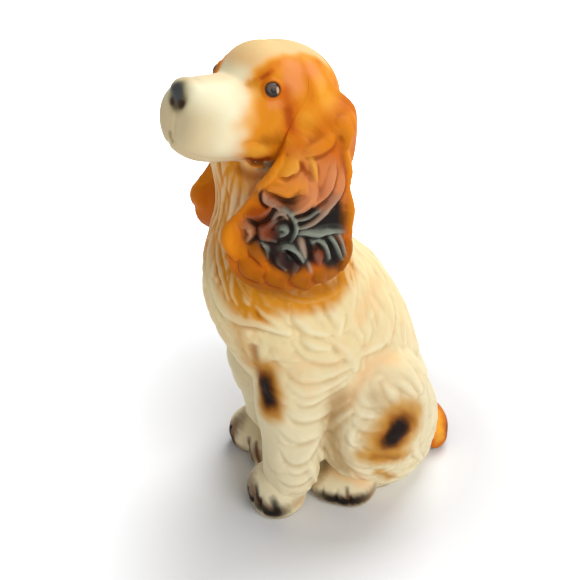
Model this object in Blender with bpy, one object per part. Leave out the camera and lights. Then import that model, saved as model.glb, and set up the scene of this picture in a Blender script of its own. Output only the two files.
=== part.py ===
"""Seated spaniel figurine in slip-cast earthenware, its castings luted together.

The dog faces -Y with its left side at +X and stands on z = 0. Lengths are metres;
rows of profiles are written in millimetres and scaled by MM.
"""

import math

import bmesh
import bpy
import numpy as np
from mathutils import Euler, Matrix, Vector
from mathutils.bvhtree import BVHTree

MM = 0.001

# The luted joint between two castings, and the vent that lets the kiln air out
LUTE_GAP = 0.3 * MM
NECK_JOINT_Z = 156.0 * MM
VENT_RADIUS = 4.5 * MM
VENT_DEPTH = 12.0 * MM
VENT_CENTRE_Y = 14.0 * MM

# Torso, as level slices: height, centre along y, half width, half depth
TORSO_ROWS = (
    (0.0, 4.0, 33.0, 31.0),
    (10.0, 6.0, 37.0, 32.5),
    (24.0, 5.0, 37.5, 34.0),
    (45.0, -2.0, 35.8, 33.9),
    (62.0, -10.5, 33.5, 38.0),
    (76.0, -16.0, 31.5, 39.3),
    (90.0, -21.8, 30.0, 38.5),
    (102.0, -26.5, 28.5, 36.0),
    (114.0, -31.7, 28.0, 29.6),
    (126.0, -32.0, 27.0, 25.0),
    (140.0, -31.8, 25.0, 21.0),
    (162.0, -33.0, 21.5, 21.5),
)
HAUNCH_CENTRE = (26.0, -3.0, 38.0)
HAUNCH_RADII = (18.0, 26.5, 34.0)

# Foreleg, as level slices: height, centre x, centre y, half width, half depth
FORELEG_ROWS = (
    (11.0, 19.5, -41.5, 10.5, 10.5),
    (20.0, 19.0, -40.5, 12.0, 12.0),
    (40.0, 18.5, -38.0, 13.0, 14.0),
    (60.0, 17.5, -36.0, 13.5, 18.0),
    (76.0, 15.5, -31.0, 13.5, 17.0),
    (86.0, 13.0, -25.0, 8.0, 9.0),
)
# The right foreleg stands this much further back at the paw and at the shoulder
RIGHT_PAW_BACK = 11.0
RIGHT_SHOULDER_BACK = 5.0
LEG_LEAN_LOW = 22.0
LEG_LEAN_HIGH = 48.0

# Paws: centre, radii, angle by which the toes turn to the dog's left
FOREPAWS = {
    1: ((16.5, -46.5, 8.0), (12.8, 12.5, 12.5), 5.0),
    -1: ((-21.5, -35.4, 8.0), (10.8, 14.3, 12.0), -12.0),
}
# Inner toes of the right forepaw, spread towards the left one
RIGHT_TOES = ((-7.6, -40.2, 6.0), (8.4, 6.9, 7.8))
HINDPAW_CENTRE = (22.0, -14.5, 6.5)
HINDPAW_RADII = (14.7, 17.0, 9.0)
HINDPAW_TURN = 42.5
ANKLE_CENTRE = (18.0, -13.5, 13.0)
ANKLE_RADII = (9.5, 12.5, 11.0)
FOREPAW_SQUARE = 2.2
HINDPAW_SQUARE = 3.0
TOE_GROOVES = (-0.5, 0.0, 0.5)
TOE_GROOVE_WIDTH = 1.3
TOE_GROOVE_DEPTH = 1.2

# Docked tail, curled round to the left on the floor: x, y, z, radius
TAIL_ROWS = (
    (-3.0, 30.0, 9.5, 9.0),
    (7.5, 35.5, 7.8, 8.3),
    (18.7, 35.4, 6.9, 7.2),
    (27.0, 31.8, 5.4, 4.6),
)

# Head, in its own frame: across, forward, up
HEAD_CENTRE = (0.0, -34.0, 178.0)
HEAD_PITCH = 15.0
HEAD_TURN = 16.0
SKULL_CENTRE = (0.0, -4.6, 0.3)
SKULL_RADII = (20.4, 25.0, 19.7)
FOREHEAD_CENTRE = (0.0, 3.9, 8.2)
FOREHEAD_RADII = (13.0, 15.1, 11.8)
BROW_CENTRE = (5.6, 8.1, 8.1)
BROW_RADII = (8.9, 6.8, 7.3)
CHEEK_CENTRE = (9.5, 4.0, -7.5)
CHEEK_RADII = (10.5, 14.0, 12.0)
# Muzzle, as upright slices: forward, centre up, half width, half height
MUZZLE_ROWS = (
    (4.0, -5.0, 16.0, 15.5),
    (14.0, -5.4, 14.8, 15.0),
    (24.0, -5.6, 14.0, 14.4),
    (32.0, -5.3, 13.0, 13.5),
    (38.0, -4.9, 10.5, 10.8),
    (40.0, -4.4, 6.5, 7.3),
)
NOSE_CENTRE = (0.0, 36.0, 4.0)
NOSE_RADII = (6.5, 5.0, 4.6)
EYE_CENTRE = (12.5, 11.0, 6.5)
EYE_RADIUS = 3.2 * MM
EYE_PROUD = 1.5 * MM
# Lids: how far the rim stands from the eye's middle, its width and height
LID_REACH = 3.4
LID_WIDTH = 1.0
LID_HEIGHT = 0.7
# Grooves of the face: width, depth, then the line, as across, forward, up; the same on the
# other side of the middle
FACE_GROOVES = (
    (1.2, 1.1, ((2.4, 42.0, 3.9), (3.7, 41.0, 4.3), (4.8, 39.5, 5.3))),
    (1.1, 0.4, ((0.0, 42.0, -0.5), (0.0, 42.0, -6.0), (0.0, 41.0, -12.0))),
    (1.1, 0.7, ((0.0, 41.0, -12.0), (5.0, 38.5, -15.0), (9.0, 31.0, -18.3), (11.0, 20.0, -19.5))),
)

# Ears, as level slices: height, angle of the front and of the back edge round the
# neck from the front, radius of the middle, thickness
EAR_ROWS = (
    (120.0, 60.0, 96.0, 31.5, 5.0),
    (123.0, 46.0, 104.0, 32.0, 8.0),
    (131.0, 36.0, 110.0, 32.0, 10.0),
    (144.0, 34.0, 114.0, 30.5, 10.0),
    (154.0, 46.0, 118.0, 27.8, 9.0),
    (166.0, 66.0, 134.0, 27.6, 8.0),
    (176.0, 82.0, 143.0, 26.2, 8.0),
    (184.0, 100.0, 142.0, 22.6, 7.0),
    (191.0, 116.0, 138.0, 16.5, 5.0),
)
EAR_AXIS_Y = -33.0
# Rounded tips along the ear's lower edge and its swell at the top: millimetres round the ear
# at EAR_RADIUS and up, distance from its axis, then half width, half height, half thickness
EAR_RADIUS = 35.0
EAR_TIPS = (
    (22.0, 141.0, 33.0, 3.2, 6.0, 4.0),
    (27.5, 131.0, 34.0, 4.0, 5.5, 4.0),
    (33.5, 126.5, 33.5, 4.2, 5.0, 4.0),
    (41.0, 124.0, 33.0, 4.2, 5.0, 4.0),
    (49.0, 123.0, 32.5, 4.2, 5.0, 4.0),
    (57.0, 124.0, 32.0, 4.2, 5.0, 4.0),
    (63.0, 128.5, 32.0, 3.4, 5.0, 4.0),
    (74.0, 172.0, 27.5, 8.0, 12.0, 5.0),
)
RIGHT_EAR_BACK = 22.0
RIGHT_EAR_DROP = 9.5

# Carving: waves of hair all over the coat, and a whorl of them on each haunch
COAT_LOCKS = 20
COAT_DEPTH = 0.5 * MM
COAT_SWAY = 0.9
WHORL_LOCKS = 11
# The camera of the photograph, from which the big locks are traced: place, turn in degrees,
# lens for a 36 mm sensor, picture size in pixels
SIGHT_PLACE = (0.2681, -0.1675, 0.3035)
SIGHT_TURN = (55.43, 1.85, 61.20)
SIGHT_LENS = 57.1
PICTURE_SIZE = 580

# Big locks of the coat on the dog's left: width and height in millimetres, then the line that
# each one follows in the photograph's pixels; the right side has them mirrored
BODY_LOCKS = (
    (2.6, 1.0, ((216, 232), (219, 255), (223, 276), (229, 300))),
    (6.6, 1.8, ((213, 282), (222, 302), (236, 313), (256, 320), (287, 331))),
    (3.2, 1.2, ((254, 304), (266, 313), (278, 322), (290, 333))),
    (4.6, 1.2, ((206, 300), (214, 322), (228, 340), (244, 354))),
    (3.0, 1.2, ((209, 232), (206, 250), (205, 268), (207, 286))),
    (5.2, 1.5, ((294, 306), (303, 318), (314, 328), (327, 333))),
    (4.2, 1.5, ((322, 296), (333, 306), (339, 320), (338, 334))),
    (4.4, 1.4, ((303, 328), (310, 339), (319, 345), (328, 347))),
    (5.4, 1.6, ((331, 337), (345, 343), (353, 355), (355, 368))),
    (5.4, 1.1, ((294, 342), (312, 352), (332, 356), (346, 352))),
    (5.4, 1.3, ((283, 364), (305, 372), (330, 371), (353, 362))),
    (4.2, 1.4, ((290, 384), (305, 390), (325, 386), (345, 375))),
    (3.8, 1.4, ((292, 396), (306, 400), (322, 395), (344, 383))),
    (5.0, 1.4, ((283, 408), (302, 414), (322, 411), (346, 399))),
    (6.2, 1.5, ((279, 426), (295, 434), (315, 430), (332, 418), (349, 409))),
    (6.4, 1.6, ((281, 447), (296, 456), (308, 450), (320, 434))),
    (4.4, 1.3, ((273, 474), (290, 480), (305, 477), (314, 466))),
    (3.2, 2.0, ((318, 446), (325, 464), (320, 483))),
    (5.2, 1.2, ((366, 262), (374, 282), (386, 302), (391, 322), (388, 341))),
    (5.2, 1.2, ((384, 268), (396, 292), (402, 316), (404, 342))),
    (4.6, 1.2, ((398, 292), (410, 318), (417, 347))),
    (6.2, 1.4, ((370, 298), (383, 318), (383, 334), (372, 345), (361, 352))),
    (3.2, 1.0, ((358, 316), (367, 328), (366, 342))),
    (6.0, 1.6, ((366, 373), (378, 363), (394, 364), (408, 372), (420, 389))),
    (5.0, 1.5, ((372, 382), (385, 371), (402, 380), (415, 396))),
    (4.2, 1.4, ((371, 383), (377, 396), (387, 405))),
    (4.2, 1.4, ((384, 376), (392, 390), (397, 404))),
    (4.2, 1.3, ((366, 378), (362, 390), (368, 400), (381, 405))),
    (4.2, 1.3, ((359, 394), (358, 404), (365, 412), (379, 415))),
    (4.4, 1.3, ((356, 410), (360, 420), (370, 427), (385, 426))),
    (3.6, 1.2, ((367, 434), (370, 444), (384, 448))),
    (3.6, 1.3, ((347, 442), (354, 458), (368, 464), (387, 460))),
    (3.6, 1.3, ((340, 440), (346, 456), (358, 467), (374, 472), (393, 466))),
    (4.2, 1.3, ((352, 466), (366, 475), (384, 480), (405, 476))),
    (3.8, 1.3, ((384, 470), (400, 473), (415, 466))),
    (4.2, 1.2, ((424, 378), (431, 400), (430, 424), (422, 445))),
    (3.6, 1.6, ((414, 440), (417, 452), (424, 461))),
    (4.4, 0.9, ((388, 412), (404, 408), (416, 418), (418, 437))),
    (4.2, 1.0, ((386, 452), (402, 454), (417, 443))),
)
# Carved locks of the left ear, traced in the same way; the right ear repeats them
EAR_LOCKS = (
    (7.0, 1.2, ((333, 108), (316, 123), (299, 138), (286, 152))),
    (6.0, 1.2, ((338, 114), (330, 136), (313, 149), (295, 161))),
    (3.8, 1.1, ((296, 158), (286, 167), (280, 177))),
    (5.4, 0.9, ((284, 156), (272, 171), (259, 180), (248, 190), (234, 209))),
    (5.2, 0.9, ((238, 204), (230, 222), (227, 240), (234, 254))),
    (3.2, 1.4, ((316, 156), (316, 171), (319, 189), (309, 204), (295, 213))),
    (3.6, 1.4, ((334, 157), (338, 174), (334, 192), (324, 209), (309, 222), (298, 224))),
    (2.4, 1.1, ((342, 146), (347, 171), (350, 196), (349, 220), (347, 230))),
    (5.0, 1.5, ((303, 174), (296, 187), (283, 193), (271, 191))),
    (2.8, 1.3, ((309, 186), (304, 200), (296, 208), (288, 208))),
    (2.0, 1.3, ((265, 188), (260, 196), (265, 204), (275, 206), (277, 212))),
    (3.8, 1.4, ((268, 210), (257, 214), (247, 212))),
    (2.3, 1.4, ((271, 212), (281, 209), (292, 217), (297, 229), (293, 240), (283, 245), (272, 243))),
    (1.6, 1.5, ((291, 226), (288, 221), (281, 222), (277, 229), (281, 235), (287, 234), (288, 229))),
    (3.8, 1.4, ((276, 217), (267, 225), (263, 234), (269, 243))),
    (2.4, 1.3, ((241, 224), (249, 223), (255, 231), (250, 238), (242, 243))),
    (2.2, 1.2, ((257, 233), (262, 244), (266, 254), (273, 264))),
    (3.2, 1.2, ((242, 246), (252, 249), (258, 259), (267, 271))),
    (2.6, 1.3, ((277, 247), (276, 257), (271, 271))),
    (2.2, 1.5, ((287, 247), (294, 248), (301, 256), (298, 264))),
    (2.6, 1.3, ((283, 256), (286, 268), (289, 278))),
    (2.2, 1.5, ((302, 234), (313, 232), (326, 236), (333, 244), (341, 258))),
    (1.8, 1.4, ((332, 227), (337, 237), (341, 247), (343, 257))),
    (2.6, 1.3, ((305, 237), (302, 250), (304, 264))),
    (2.6, 1.3, ((315, 242), (311, 254), (310, 270))),
    (2.4, 1.3, ((319, 240), (326, 250), (329, 262), (330, 272))),
    (2.6, 1.1, ((347, 237), (349, 245), (346, 259), (341, 268))),
    (3.4, 0.9, ((241, 258), (250, 272), (262, 280))),
    (3.0, 0.9, ((268, 268), (274, 280), (284, 285))),
    (3.0, 0.9, ((294, 270), (299, 280), (306, 286))),
    (3.0, 0.9, ((318, 270), (322, 278), (326, 283))),
    (5.4, 1.0, ((335, 84), (347, 104), (350, 126), (347, 148))),
    (4.0, 1.0, ((323, 84), (336, 99), (341, 118), (340, 132))),
)
# Locks are carved this much wider and lower than traced, over grooves of this share
LOCK_WIDEN = 1.7
LOCK_LOWER = 1.0
LOCK_GROOVE = 0.4

# Skin size and number of faces of each casting
VOXEL = 1.3 * MM
FACES = {
    "body": 5100,
    "head": 2000,
    "ear": 1400,
    "foreleg": 480,
    "paw": 280,
    "tail": 200,
}

# Glazes: colour, roughness
GLAZES = {
    "cream_bisque": ((0.80, 0.67, 0.42, 1.0), 0.55),
    "orange_bisque": ((0.76, 0.27, 0.03, 1.0), 0.50),
    "eye_gloss": ((0.03, 0.04, 0.05, 1.0), 0.12),
}


def clear_scene():
    for obj in list(bpy.data.objects):
        bpy.data.objects.remove(obj)


def mm(values):
    return tuple(v * MM for v in values)


def object_from_bmesh(name, bm):
    bmesh.ops.recalc_face_normals(bm, faces=bm.faces)
    mesh = bpy.data.meshes.new(name)
    bm.to_mesh(mesh)
    bm.free()
    obj = bpy.data.objects.new(name, mesh)
    bpy.context.scene.collection.objects.link(obj)
    return obj


def spread(rows, count):
    """The rows, made into count rows along a smooth curve through them."""
    rows = np.array(rows, float)
    place = np.linspace(0, len(rows) - 1, count)
    index = np.clip(place.astype(int), 0, len(rows) - 2)
    t = (place - index)[:, None]
    before = rows[np.clip(index - 1, 0, len(rows) - 1)]
    a, b = rows[index], rows[index + 1]
    after = rows[np.clip(index + 2, 0, len(rows) - 1)]
    leave, arrive = (b - before) / 2, (after - a) / 2
    blend = a * (2 * t**3 - 3 * t**2 + 1) + b * (3 * t**2 - 2 * t**3)
    return blend + leave * (t**3 - 2 * t**2 + t) + arrive * (t**3 - t**2)


def loft(name, rings):
    """A closed skin through rings of equal length, capped at both ends."""
    bm = bmesh.new()
    loops = [[bm.verts.new(p) for p in ring] for ring in rings]
    for low, high in zip(loops, loops[1:]):
        for i in range(len(low)):
            j = (i + 1) % len(low)
            bm.faces.new((low[i], low[j], high[j], high[i]))
    bm.faces.new(loops[0])
    bm.faces.new(loops[-1])
    return object_from_bmesh(name, bm)


def ring(centre, across, along, count=40):
    turns = [2 * math.pi * i / count for i in range(count)]
    return [Vector(centre) + Vector(across) * math.cos(a) + Vector(along) * math.sin(a) for a in turns]


def ellipsoid(name, centre, radii, turn=Matrix.Identity(3), square=2.0):
    """An ellipsoid; a square above 2 fills its corners out."""
    bm = bmesh.new()
    bmesh.ops.create_icosphere(bm, subdivisions=4, radius=1.0)
    for vert in bm.verts:
        fuller = sum(abs(c) ** square for c in vert.co) ** (-1 / square)
        vert.co = turn @ Vector(x * r * fuller for x, r in zip(vert.co, radii)) + Vector(centre)
    return object_from_bmesh(name, bm)


def apply_modifiers(obj):
    graph = bpy.context.evaluated_depsgraph_get()
    mesh = bpy.data.meshes.new_from_object(obj.evaluated_get(graph))
    obj.modifiers.clear()
    obj.data = mesh
    return obj


def fuse(name, pieces, voxel=VOXEL, rounds=10):
    """One skin over overlapping pieces, its creases softened as slip fills them."""
    bm = bmesh.new()
    for piece in pieces:
        bm.from_mesh(piece.data)
        bpy.data.objects.remove(piece)
    obj = object_from_bmesh(name, bm)
    remesh = obj.modifiers.new("skin", "REMESH")
    remesh.mode = "VOXEL"
    remesh.voxel_size = voxel
    soften = obj.modifiers.new("soften", "SMOOTH")
    soften.iterations = rounds
    soften.factor = 0.5
    return apply_modifiers(obj)


def reduce_faces(obj, count):
    obj.data.calc_loop_triangles()
    shrink = obj.modifiers.new("reduce", "DECIMATE")
    shrink.ratio = min(1.0, count / len(obj.data.loop_triangles))
    shrink.use_collapse_triangulate = True
    return apply_modifiers(obj)


def carve(obj, depth_at):
    """Moves each point along its normal by depth_at(point, normal)."""
    return raise_points(obj, np.array([depth_at(v.co, v.normal) for v in obj.data.vertices]))


def surface(obj):
    """A skin's points and their normals, as arrays."""
    points = np.empty(len(obj.data.vertices) * 3)
    obj.data.vertices.foreach_get("co", points)
    normals = np.empty(len(obj.data.vertices) * 3)
    obj.data.vertex_normals.foreach_get("vector", normals)
    return points.reshape(-1, 3), normals.reshape(-1, 3)


def raise_points(obj, relief):
    """Moves each point of a skin out along its normal by its relief."""
    points, normals = surface(obj)
    obj.data.vertices.foreach_set("co", (points + normals * relief[:, None]).ravel())
    obj.data.update()
    return obj


def step(low, high, value):
    t = np.clip((value - low) / (high - low), 0, 1)
    return t * t * (3 - 2 * t)


def beside_line(points, line):
    """For each point: its distance from a line, how far along it is, nearest leg, gap vector."""
    legs = line[1:] - line[:-1]
    offset = points[:, None, :] - line[None, :-1, :]
    share = np.clip((offset * legs).sum(axis=2) / (legs**2).sum(axis=1), 0, 1)
    gap = offset - share[:, :, None] * legs[None, :, :]
    distance = np.sqrt((gap**2).sum(axis=2))
    leg = distance.argmin(axis=1)
    row = np.arange(len(points))
    return distance[row, leg], (leg + share[row, leg]) / len(legs), leg, gap[row, leg]


def cut(obj, cutter, operation="DIFFERENCE"):
    """Cuts obj by a cutter, which is used up."""
    boolean = obj.modifiers.new("cut", "BOOLEAN")
    boolean.operation = operation
    boolean.solver = "EXACT"
    boolean.object = cutter
    apply_modifiers(obj)
    bpy.data.objects.remove(cutter)
    return obj


def box(name, low, high):
    bm = bmesh.new()
    bmesh.ops.create_cube(bm, size=1.0)
    for vert in bm.verts:
        vert.co = Vector((l + h) / 2 + c * (h - l) for c, l, h in zip(vert.co, low, high))
    return object_from_bmesh(name, bm)


def keep_between(obj, low_z, high_z):
    """Keeps what lies between two level planes, cut flat."""
    return cut(obj, box("slab", (-0.2, -0.2, low_z), (0.2, 0.2, high_z)), "INTERSECT")


def copy_of(obj):
    copy = bpy.data.objects.new(obj.name + "_form", obj.data.copy())
    bpy.context.scene.collection.objects.link(copy)
    return copy


def swollen(obj):
    """A copy grown outward by the luted gap, to cut the neighbour with."""
    copy = copy_of(obj)
    moves = [v.normal * LUTE_GAP for v in copy.data.vertices]
    for vert, move in zip(copy.data.vertices, moves):
        vert.co += move
    copy.data.update()
    return copy


def cut_by_all(obj, carriers):
    """Seats a piece against its carriers, a luted gap away from each."""
    for carrier in carriers:
        cut(obj, swollen(carrier))
    return largest_body(obj)


def largest_body(obj):
    """Drops crumbs that a cut has left beside the main body."""
    bm = bmesh.new()
    bm.from_mesh(obj.data)
    left = set(bm.verts)
    bodies = []
    while left:
        seed = left.pop()
        body, edge = {seed}, [seed]
        while edge:
            vert = edge.pop()
            for link in vert.link_edges:
                other = link.other_vert(vert)
                if other not in body:
                    body.add(other)
                    edge.append(other)
        left -= body
        bodies.append(body)
    keep = max(bodies, key=len)
    bmesh.ops.delete(bm, geom=[v for v in bm.verts if v not in keep], context="VERTS")
    bm.to_mesh(obj.data)
    bm.free()
    return obj


def smooth_step(low, high, value):
    t = min(1.0, max(0.0, (value - low) / (high - low)))
    return t * t * (3 - 2 * t)


def coat_depth(point, normal):
    """Long wavy locks down the torso, and a whorl of locks on each haunch."""
    x, y, z = point
    heights, middles = np.array(TORSO_ROWS)[:, 0] * MM, np.array(TORSO_ROWS)[:, 1] * MM
    turn = math.atan2(x, -(y - float(np.interp(z, heights, middles))))
    sway = COAT_SWAY * math.sin(z / (11 * MM) + 2 * turn)
    locks = math.cos(COAT_LOCKS * turn + sway)
    _, haunch_y, haunch_z = mm(HAUNCH_CENTRE)
    from_haunch = math.hypot(y - haunch_y, z - haunch_z)
    round_haunch = math.atan2(z - haunch_z, y - haunch_y)
    curls = math.cos(WHORL_LOCKS * round_haunch + from_haunch / (6 * MM))
    curls *= smooth_step(5 * MM, 16 * MM, from_haunch)
    on_haunch = smooth_step(20 * MM, 30 * MM, abs(x)) * (1 - smooth_step(26 * MM, 36 * MM, from_haunch))
    above_floor = smooth_step(8 * MM, 22 * MM, z) * (1 - smooth_step(146 * MM, 158 * MM, z))
    level = smooth_step(0.1, 0.5, math.hypot(normal.x, normal.y))
    return COAT_DEPTH * above_floor * level * (locks * (1 - on_haunch) + 0.8 * curls * on_haunch)


def torso_form():
    rings = []
    for z, y, half_x, half_y in spread(TORSO_ROWS, 34) * MM:
        rings.append(ring((0, y, z), (half_x, 0, 0), (0, half_y, 0)))
    # the skin runs a little below the floor, so that the cut there is flat to its edge
    rings.insert(0, [Vector((p.x, p.y, -6 * MM)) for p in rings[0]])
    pieces = [loft("torso", rings)]
    x, y, z = mm(HAUNCH_CENTRE)
    for side in (1, -1):
        pieces.append(ellipsoid("haunch", (side * x, y, z), mm(HAUNCH_RADII)))
    return pieces


def skin_tree(obj):
    return BVHTree.FromPolygons([v.co for v in obj.data.vertices], [p.vertices for p in obj.data.polygons])


def trace(rows, tree):
    """Locks traced in the photograph: width, height, and their places and normals on a skin."""
    turn = Euler([math.radians(a) for a in SIGHT_TURN]).to_matrix()
    focal = SIGHT_LENS / 36 * PICTURE_SIZE
    locks = []
    for width, height, route in rows:
        seen = []
        for x, y in spread(route, 4 * len(route)):
            aim = turn @ Vector(((x - PICTURE_SIZE / 2) / focal, (PICTURE_SIZE / 2 - y) / focal, -1))
            place, normal, _, _ = tree.ray_cast(Vector(SIGHT_PLACE), aim.normalized())
            if place is not None:
                seen.append((place, normal))
        if len(seen) > 3:
            locks.append((width * LOCK_WIDEN * MM, height * LOCK_LOWER * MM, seen))
    return locks


def coat_locks():
    """The big locks on trunk and forelegs, and their mirror images on the right."""
    form = fuse("form", torso_form() + [foreleg_loft("leg", side) for side in (1, -1)], 2.0 * MM, 6)
    tree = skin_tree(form)
    bpy.data.objects.remove(form)
    locks = []
    for width, height, seen in trace(BODY_LOCKS, tree):
        mirrored = [tree.find_nearest(Vector((-place.x, place.y, place.z)))[:2] for place, _ in seen]
        locks += [(width, height, seen), (width, height, mirrored)]
    return locks


def ear_locks(side):
    """The locks of the left ear, or the same ones swung, lowered and mirrored for the right."""
    form = ear_form("form", 1)
    locks = trace(EAR_LOCKS, skin_tree(form))
    bpy.data.objects.remove(form)
    if side > 0:
        return locks
    axis = Vector((0, EAR_AXIS_Y * MM, 0))
    swing = Matrix.Rotation(math.radians(-RIGHT_EAR_BACK), 3, "Z") @ Matrix.Diagonal((-1, 1, 1))
    drop = Vector((0, 0, RIGHT_EAR_DROP * MM))
    moved = []
    for width, height, seen in locks:
        line = [(swing @ (place - axis) + axis - drop, swing @ normal) for place, normal in seen]
        moved.append((width, height, line))
    return moved


def add_locks(obj, locks):
    """Lays locks on a skin: each rises from its root and its upper side to a rounded lower edge."""
    points, normals = surface(obj)
    dome, groove = np.zeros(len(points)), np.zeros(len(points))
    for width, height, seats in locks:
        line, facing = (np.array([tuple(v) for v in column]) for column in zip(*seats))
        low, high = line.min(axis=0) - 1.6 * width, line.max(axis=0) + 1.6 * width
        near = np.nonzero(((points > low) & (points < high)).all(axis=1))[0]
        if not len(near):
            continue
        distance, along, leg, gap = beside_line(points[near], line)
        strength = step(0.0, 0.4, (normals[near] * facing[leg]).sum(axis=1))
        across = np.cross(line[1:] - line[:-1], facing[:-1])
        across /= np.linalg.norm(across, axis=1)[:, None]
        below = np.sign((gap * across[leg]).sum(axis=1)) * np.clip(-1.6 * across[leg, 2], -1, 1)
        taper = (0.35 + 0.65 * step(0.0, 0.35, along)) * (1 - 0.55 * step(0.5, 1.0, along))
        q = distance / (width / 2 * taper)
        round_top = np.clip(1 - q**2, 0, None)
        lower, upper = np.clip(below, 0, 1), np.clip(-below, 0, 1)
        shape = round_top + lower * (step(1.0, 0.5, q) - round_top) + upper * (step(1.0, -0.4, q) - round_top)
        rise = (0.3 + 0.7 * step(0.0, 0.6, along)) * strength
        dome[near] = np.maximum(dome[near], height * rise * shape)
        edge = step(0.8, 1.05, q) * step(1.6, 1.15, q) * np.clip(0.45 + 0.55 * below, 0, 1)
        groove[near] = np.minimum(groove[near], -LOCK_GROOVE * height * rise * edge)
    # a luted edge and the sole stay whole
    return raise_points(obj, (dome + groove) * step(1 * MM, 5 * MM, points[:, 2]))


def build_body(locks):
    body = carve(add_locks(fuse("body", torso_form()), locks), coat_depth)
    body = keep_between(reduce_faces(body, FACES["body"]), 0.0, NECK_JOINT_Z)
    bm = bmesh.new()
    reach = Matrix.Translation((0, VENT_CENTRE_Y, 0))
    bmesh.ops.create_cone(
        bm, cap_ends=True, segments=32, radius1=VENT_RADIUS, radius2=VENT_RADIUS, depth=2 * VENT_DEPTH, matrix=reach
    )
    return cut(body, object_from_bmesh("vent", bm))


def leg_back(side, z):
    """How far back a foreleg stands at a height, in millimetres: the right one leans."""
    if side > 0:
        return 0.0
    lean = smooth_step(LEG_LEAN_LOW, LEG_LEAN_HIGH, z)
    return RIGHT_PAW_BACK + (RIGHT_SHOULDER_BACK - RIGHT_PAW_BACK) * lean


def foreleg_loft(name, side):
    rings = []
    for z, x, y, half_x, half_y in spread(FORELEG_ROWS, 18):
        centre = mm((side * x, y + leg_back(side, z), z))
        rings.append(ring(centre, (half_x * MM, 0, 0), (0, half_y * MM, 0), 28))
    return loft(name, rings)


def foreleg_form(name, side, locks):
    leg = add_locks(fuse(name, [foreleg_loft(name, side)], rounds=4), locks)
    return reduce_faces(leg, FACES["foreleg"])


def paw_form(name, centre, radii, turn, square, *more):
    """An egg with grooves between its four toes, flat under the sole, with more lobes fused on."""
    rotation = Matrix.Rotation(math.radians(turn), 3, "Z")
    pieces = [ellipsoid(name, mm(centre), mm(radii), rotation, square)]
    pieces += [ellipsoid("lobe", mm(place), mm(size), rotation) for place, size in more]
    paw = fuse(name, pieces, voxel=1.0 * MM, rounds=3)
    across, ahead = rotation.col[0], -rotation.col[1]

    def toe_depth(point, normal):
        offset = point / MM - Vector(centre)
        sideways, forward = offset.dot(across) / radii[0], offset.dot(ahead) / radii[1]
        grooves = sum(math.exp(-((sideways - g) * radii[0] / TOE_GROOVE_WIDTH) ** 2) for g in TOE_GROOVES)
        low = smooth_step(radii[2], 0.3 * radii[2], offset.z)
        return -TOE_GROOVE_DEPTH * MM * grooves * smooth_step(0.3, 0.75, forward) * low

    carve(paw, toe_depth)
    return keep_between(reduce_faces(paw, FACES["paw"]), 0.0, 60 * MM)


def build_tail(body):
    rings = [ring((x, y, z), (0, r, 0), (0, 0, r), 24) for x, y, z, r in spread(TAIL_ROWS, 9) * MM]
    tail = fuse("tail", [loft("tail", rings)], voxel=1.0 * MM, rounds=4)
    tail = keep_between(reduce_faces(tail, FACES["tail"]), 0.0, 60 * MM)
    return cut_by_all(tail, (body,))


def head_place():
    """The head's own frame of across, forward and up, set on the neck."""
    pitch = math.radians(HEAD_PITCH)
    forward = Vector((0, -math.cos(pitch), math.sin(pitch)))
    up = Vector((0, math.sin(pitch), math.cos(pitch)))
    tilt = Matrix((Vector((1, 0, 0)), forward, up)).transposed()
    turn = Matrix.Rotation(math.radians(HEAD_TURN), 3, "Z") @ tilt
    return Matrix.Translation(Vector(mm(HEAD_CENTRE))) @ turn.to_4x4()


def build_head():
    pieces = [
        ellipsoid("skull", mm(SKULL_CENTRE), mm(SKULL_RADII)),
        ellipsoid("forehead", mm(FOREHEAD_CENTRE), mm(FOREHEAD_RADII)),
        ellipsoid("nose", mm(NOSE_CENTRE), mm(NOSE_RADII)),
    ]
    for side in (1, -1):
        for centre, radii in ((BROW_CENTRE, BROW_RADII), (CHEEK_CENTRE, CHEEK_RADII)):
            x, forward, up = mm(centre)
            pieces.append(ellipsoid("swell", (side * x, forward, up), mm(radii)))
    rings = []
    for forward, up, half_x, half_up in spread(MUZZLE_ROWS, 14) * MM:
        rings.append(ring((0, forward, up), (half_x, 0, 0), (0, 0, half_up), 32))
    pieces.append(loft("muzzle", rings))
    for piece in pieces:
        # across, forward and up are a left-handed set, so the faces turn over
        piece.data.transform(head_place())
        piece.data.flip_normals()
    neck = []
    for z, y, half_x, half_y in spread(TORSO_ROWS[-3:], 8) * MM:
        neck.append(ring((0, y, z), (half_x, 0, 0), (0, half_y, 0)))
    pieces.append(loft("neck", neck))
    head = fuse("head", pieces, voxel=1.0 * MM, rounds=10)
    raise_points(head, face_relief(head))
    return keep_between(reduce_faces(head, FACES["head"]), NECK_JOINT_Z + LUTE_GAP, 0.3)


def eye_place(side, head):
    """Where an eye sits on the head's skin, and the skin's normal there."""
    x, forward, up = mm(EYE_CENTRE)
    _, on_skin, normal, _ = head.closest_point_on_mesh(head_place() @ Vector((side * x, forward, up)))
    return on_skin, normal


def face_relief(head):
    """Lids round the eyes, nostrils, the line under the nose and the mouth."""
    points, _ = surface(head)
    relief = np.zeros(len(points))
    for side in (1, -1):
        on_skin, normal = eye_place(side, head)
        offset = points - np.array(on_skin)
        flat = offset - (offset @ np.array(normal))[:, None] * np.array(normal)
        reach = np.linalg.norm(flat, axis=1) / MM
        rim = LID_HEIGHT * MM * np.exp(-(((reach - LID_REACH) / LID_WIDTH) ** 2))
        relief += np.where(np.linalg.norm(offset, axis=1) < 12 * MM, rim, 0.0)
        for width, depth, line in FACE_GROOVES:
            seats = []
            for across, forward, up in spread(line, 4 * len(line)) * MM:
                near = head_place() @ Vector((side * across, forward, up))
                seats.append(tuple(head.closest_point_on_mesh(near)[1]))
            distance = beside_line(points, np.array(seats))[0] / MM
            relief = np.minimum(relief, relief - depth * MM * np.exp(-((distance / width) ** 2)))
    return relief


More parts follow.
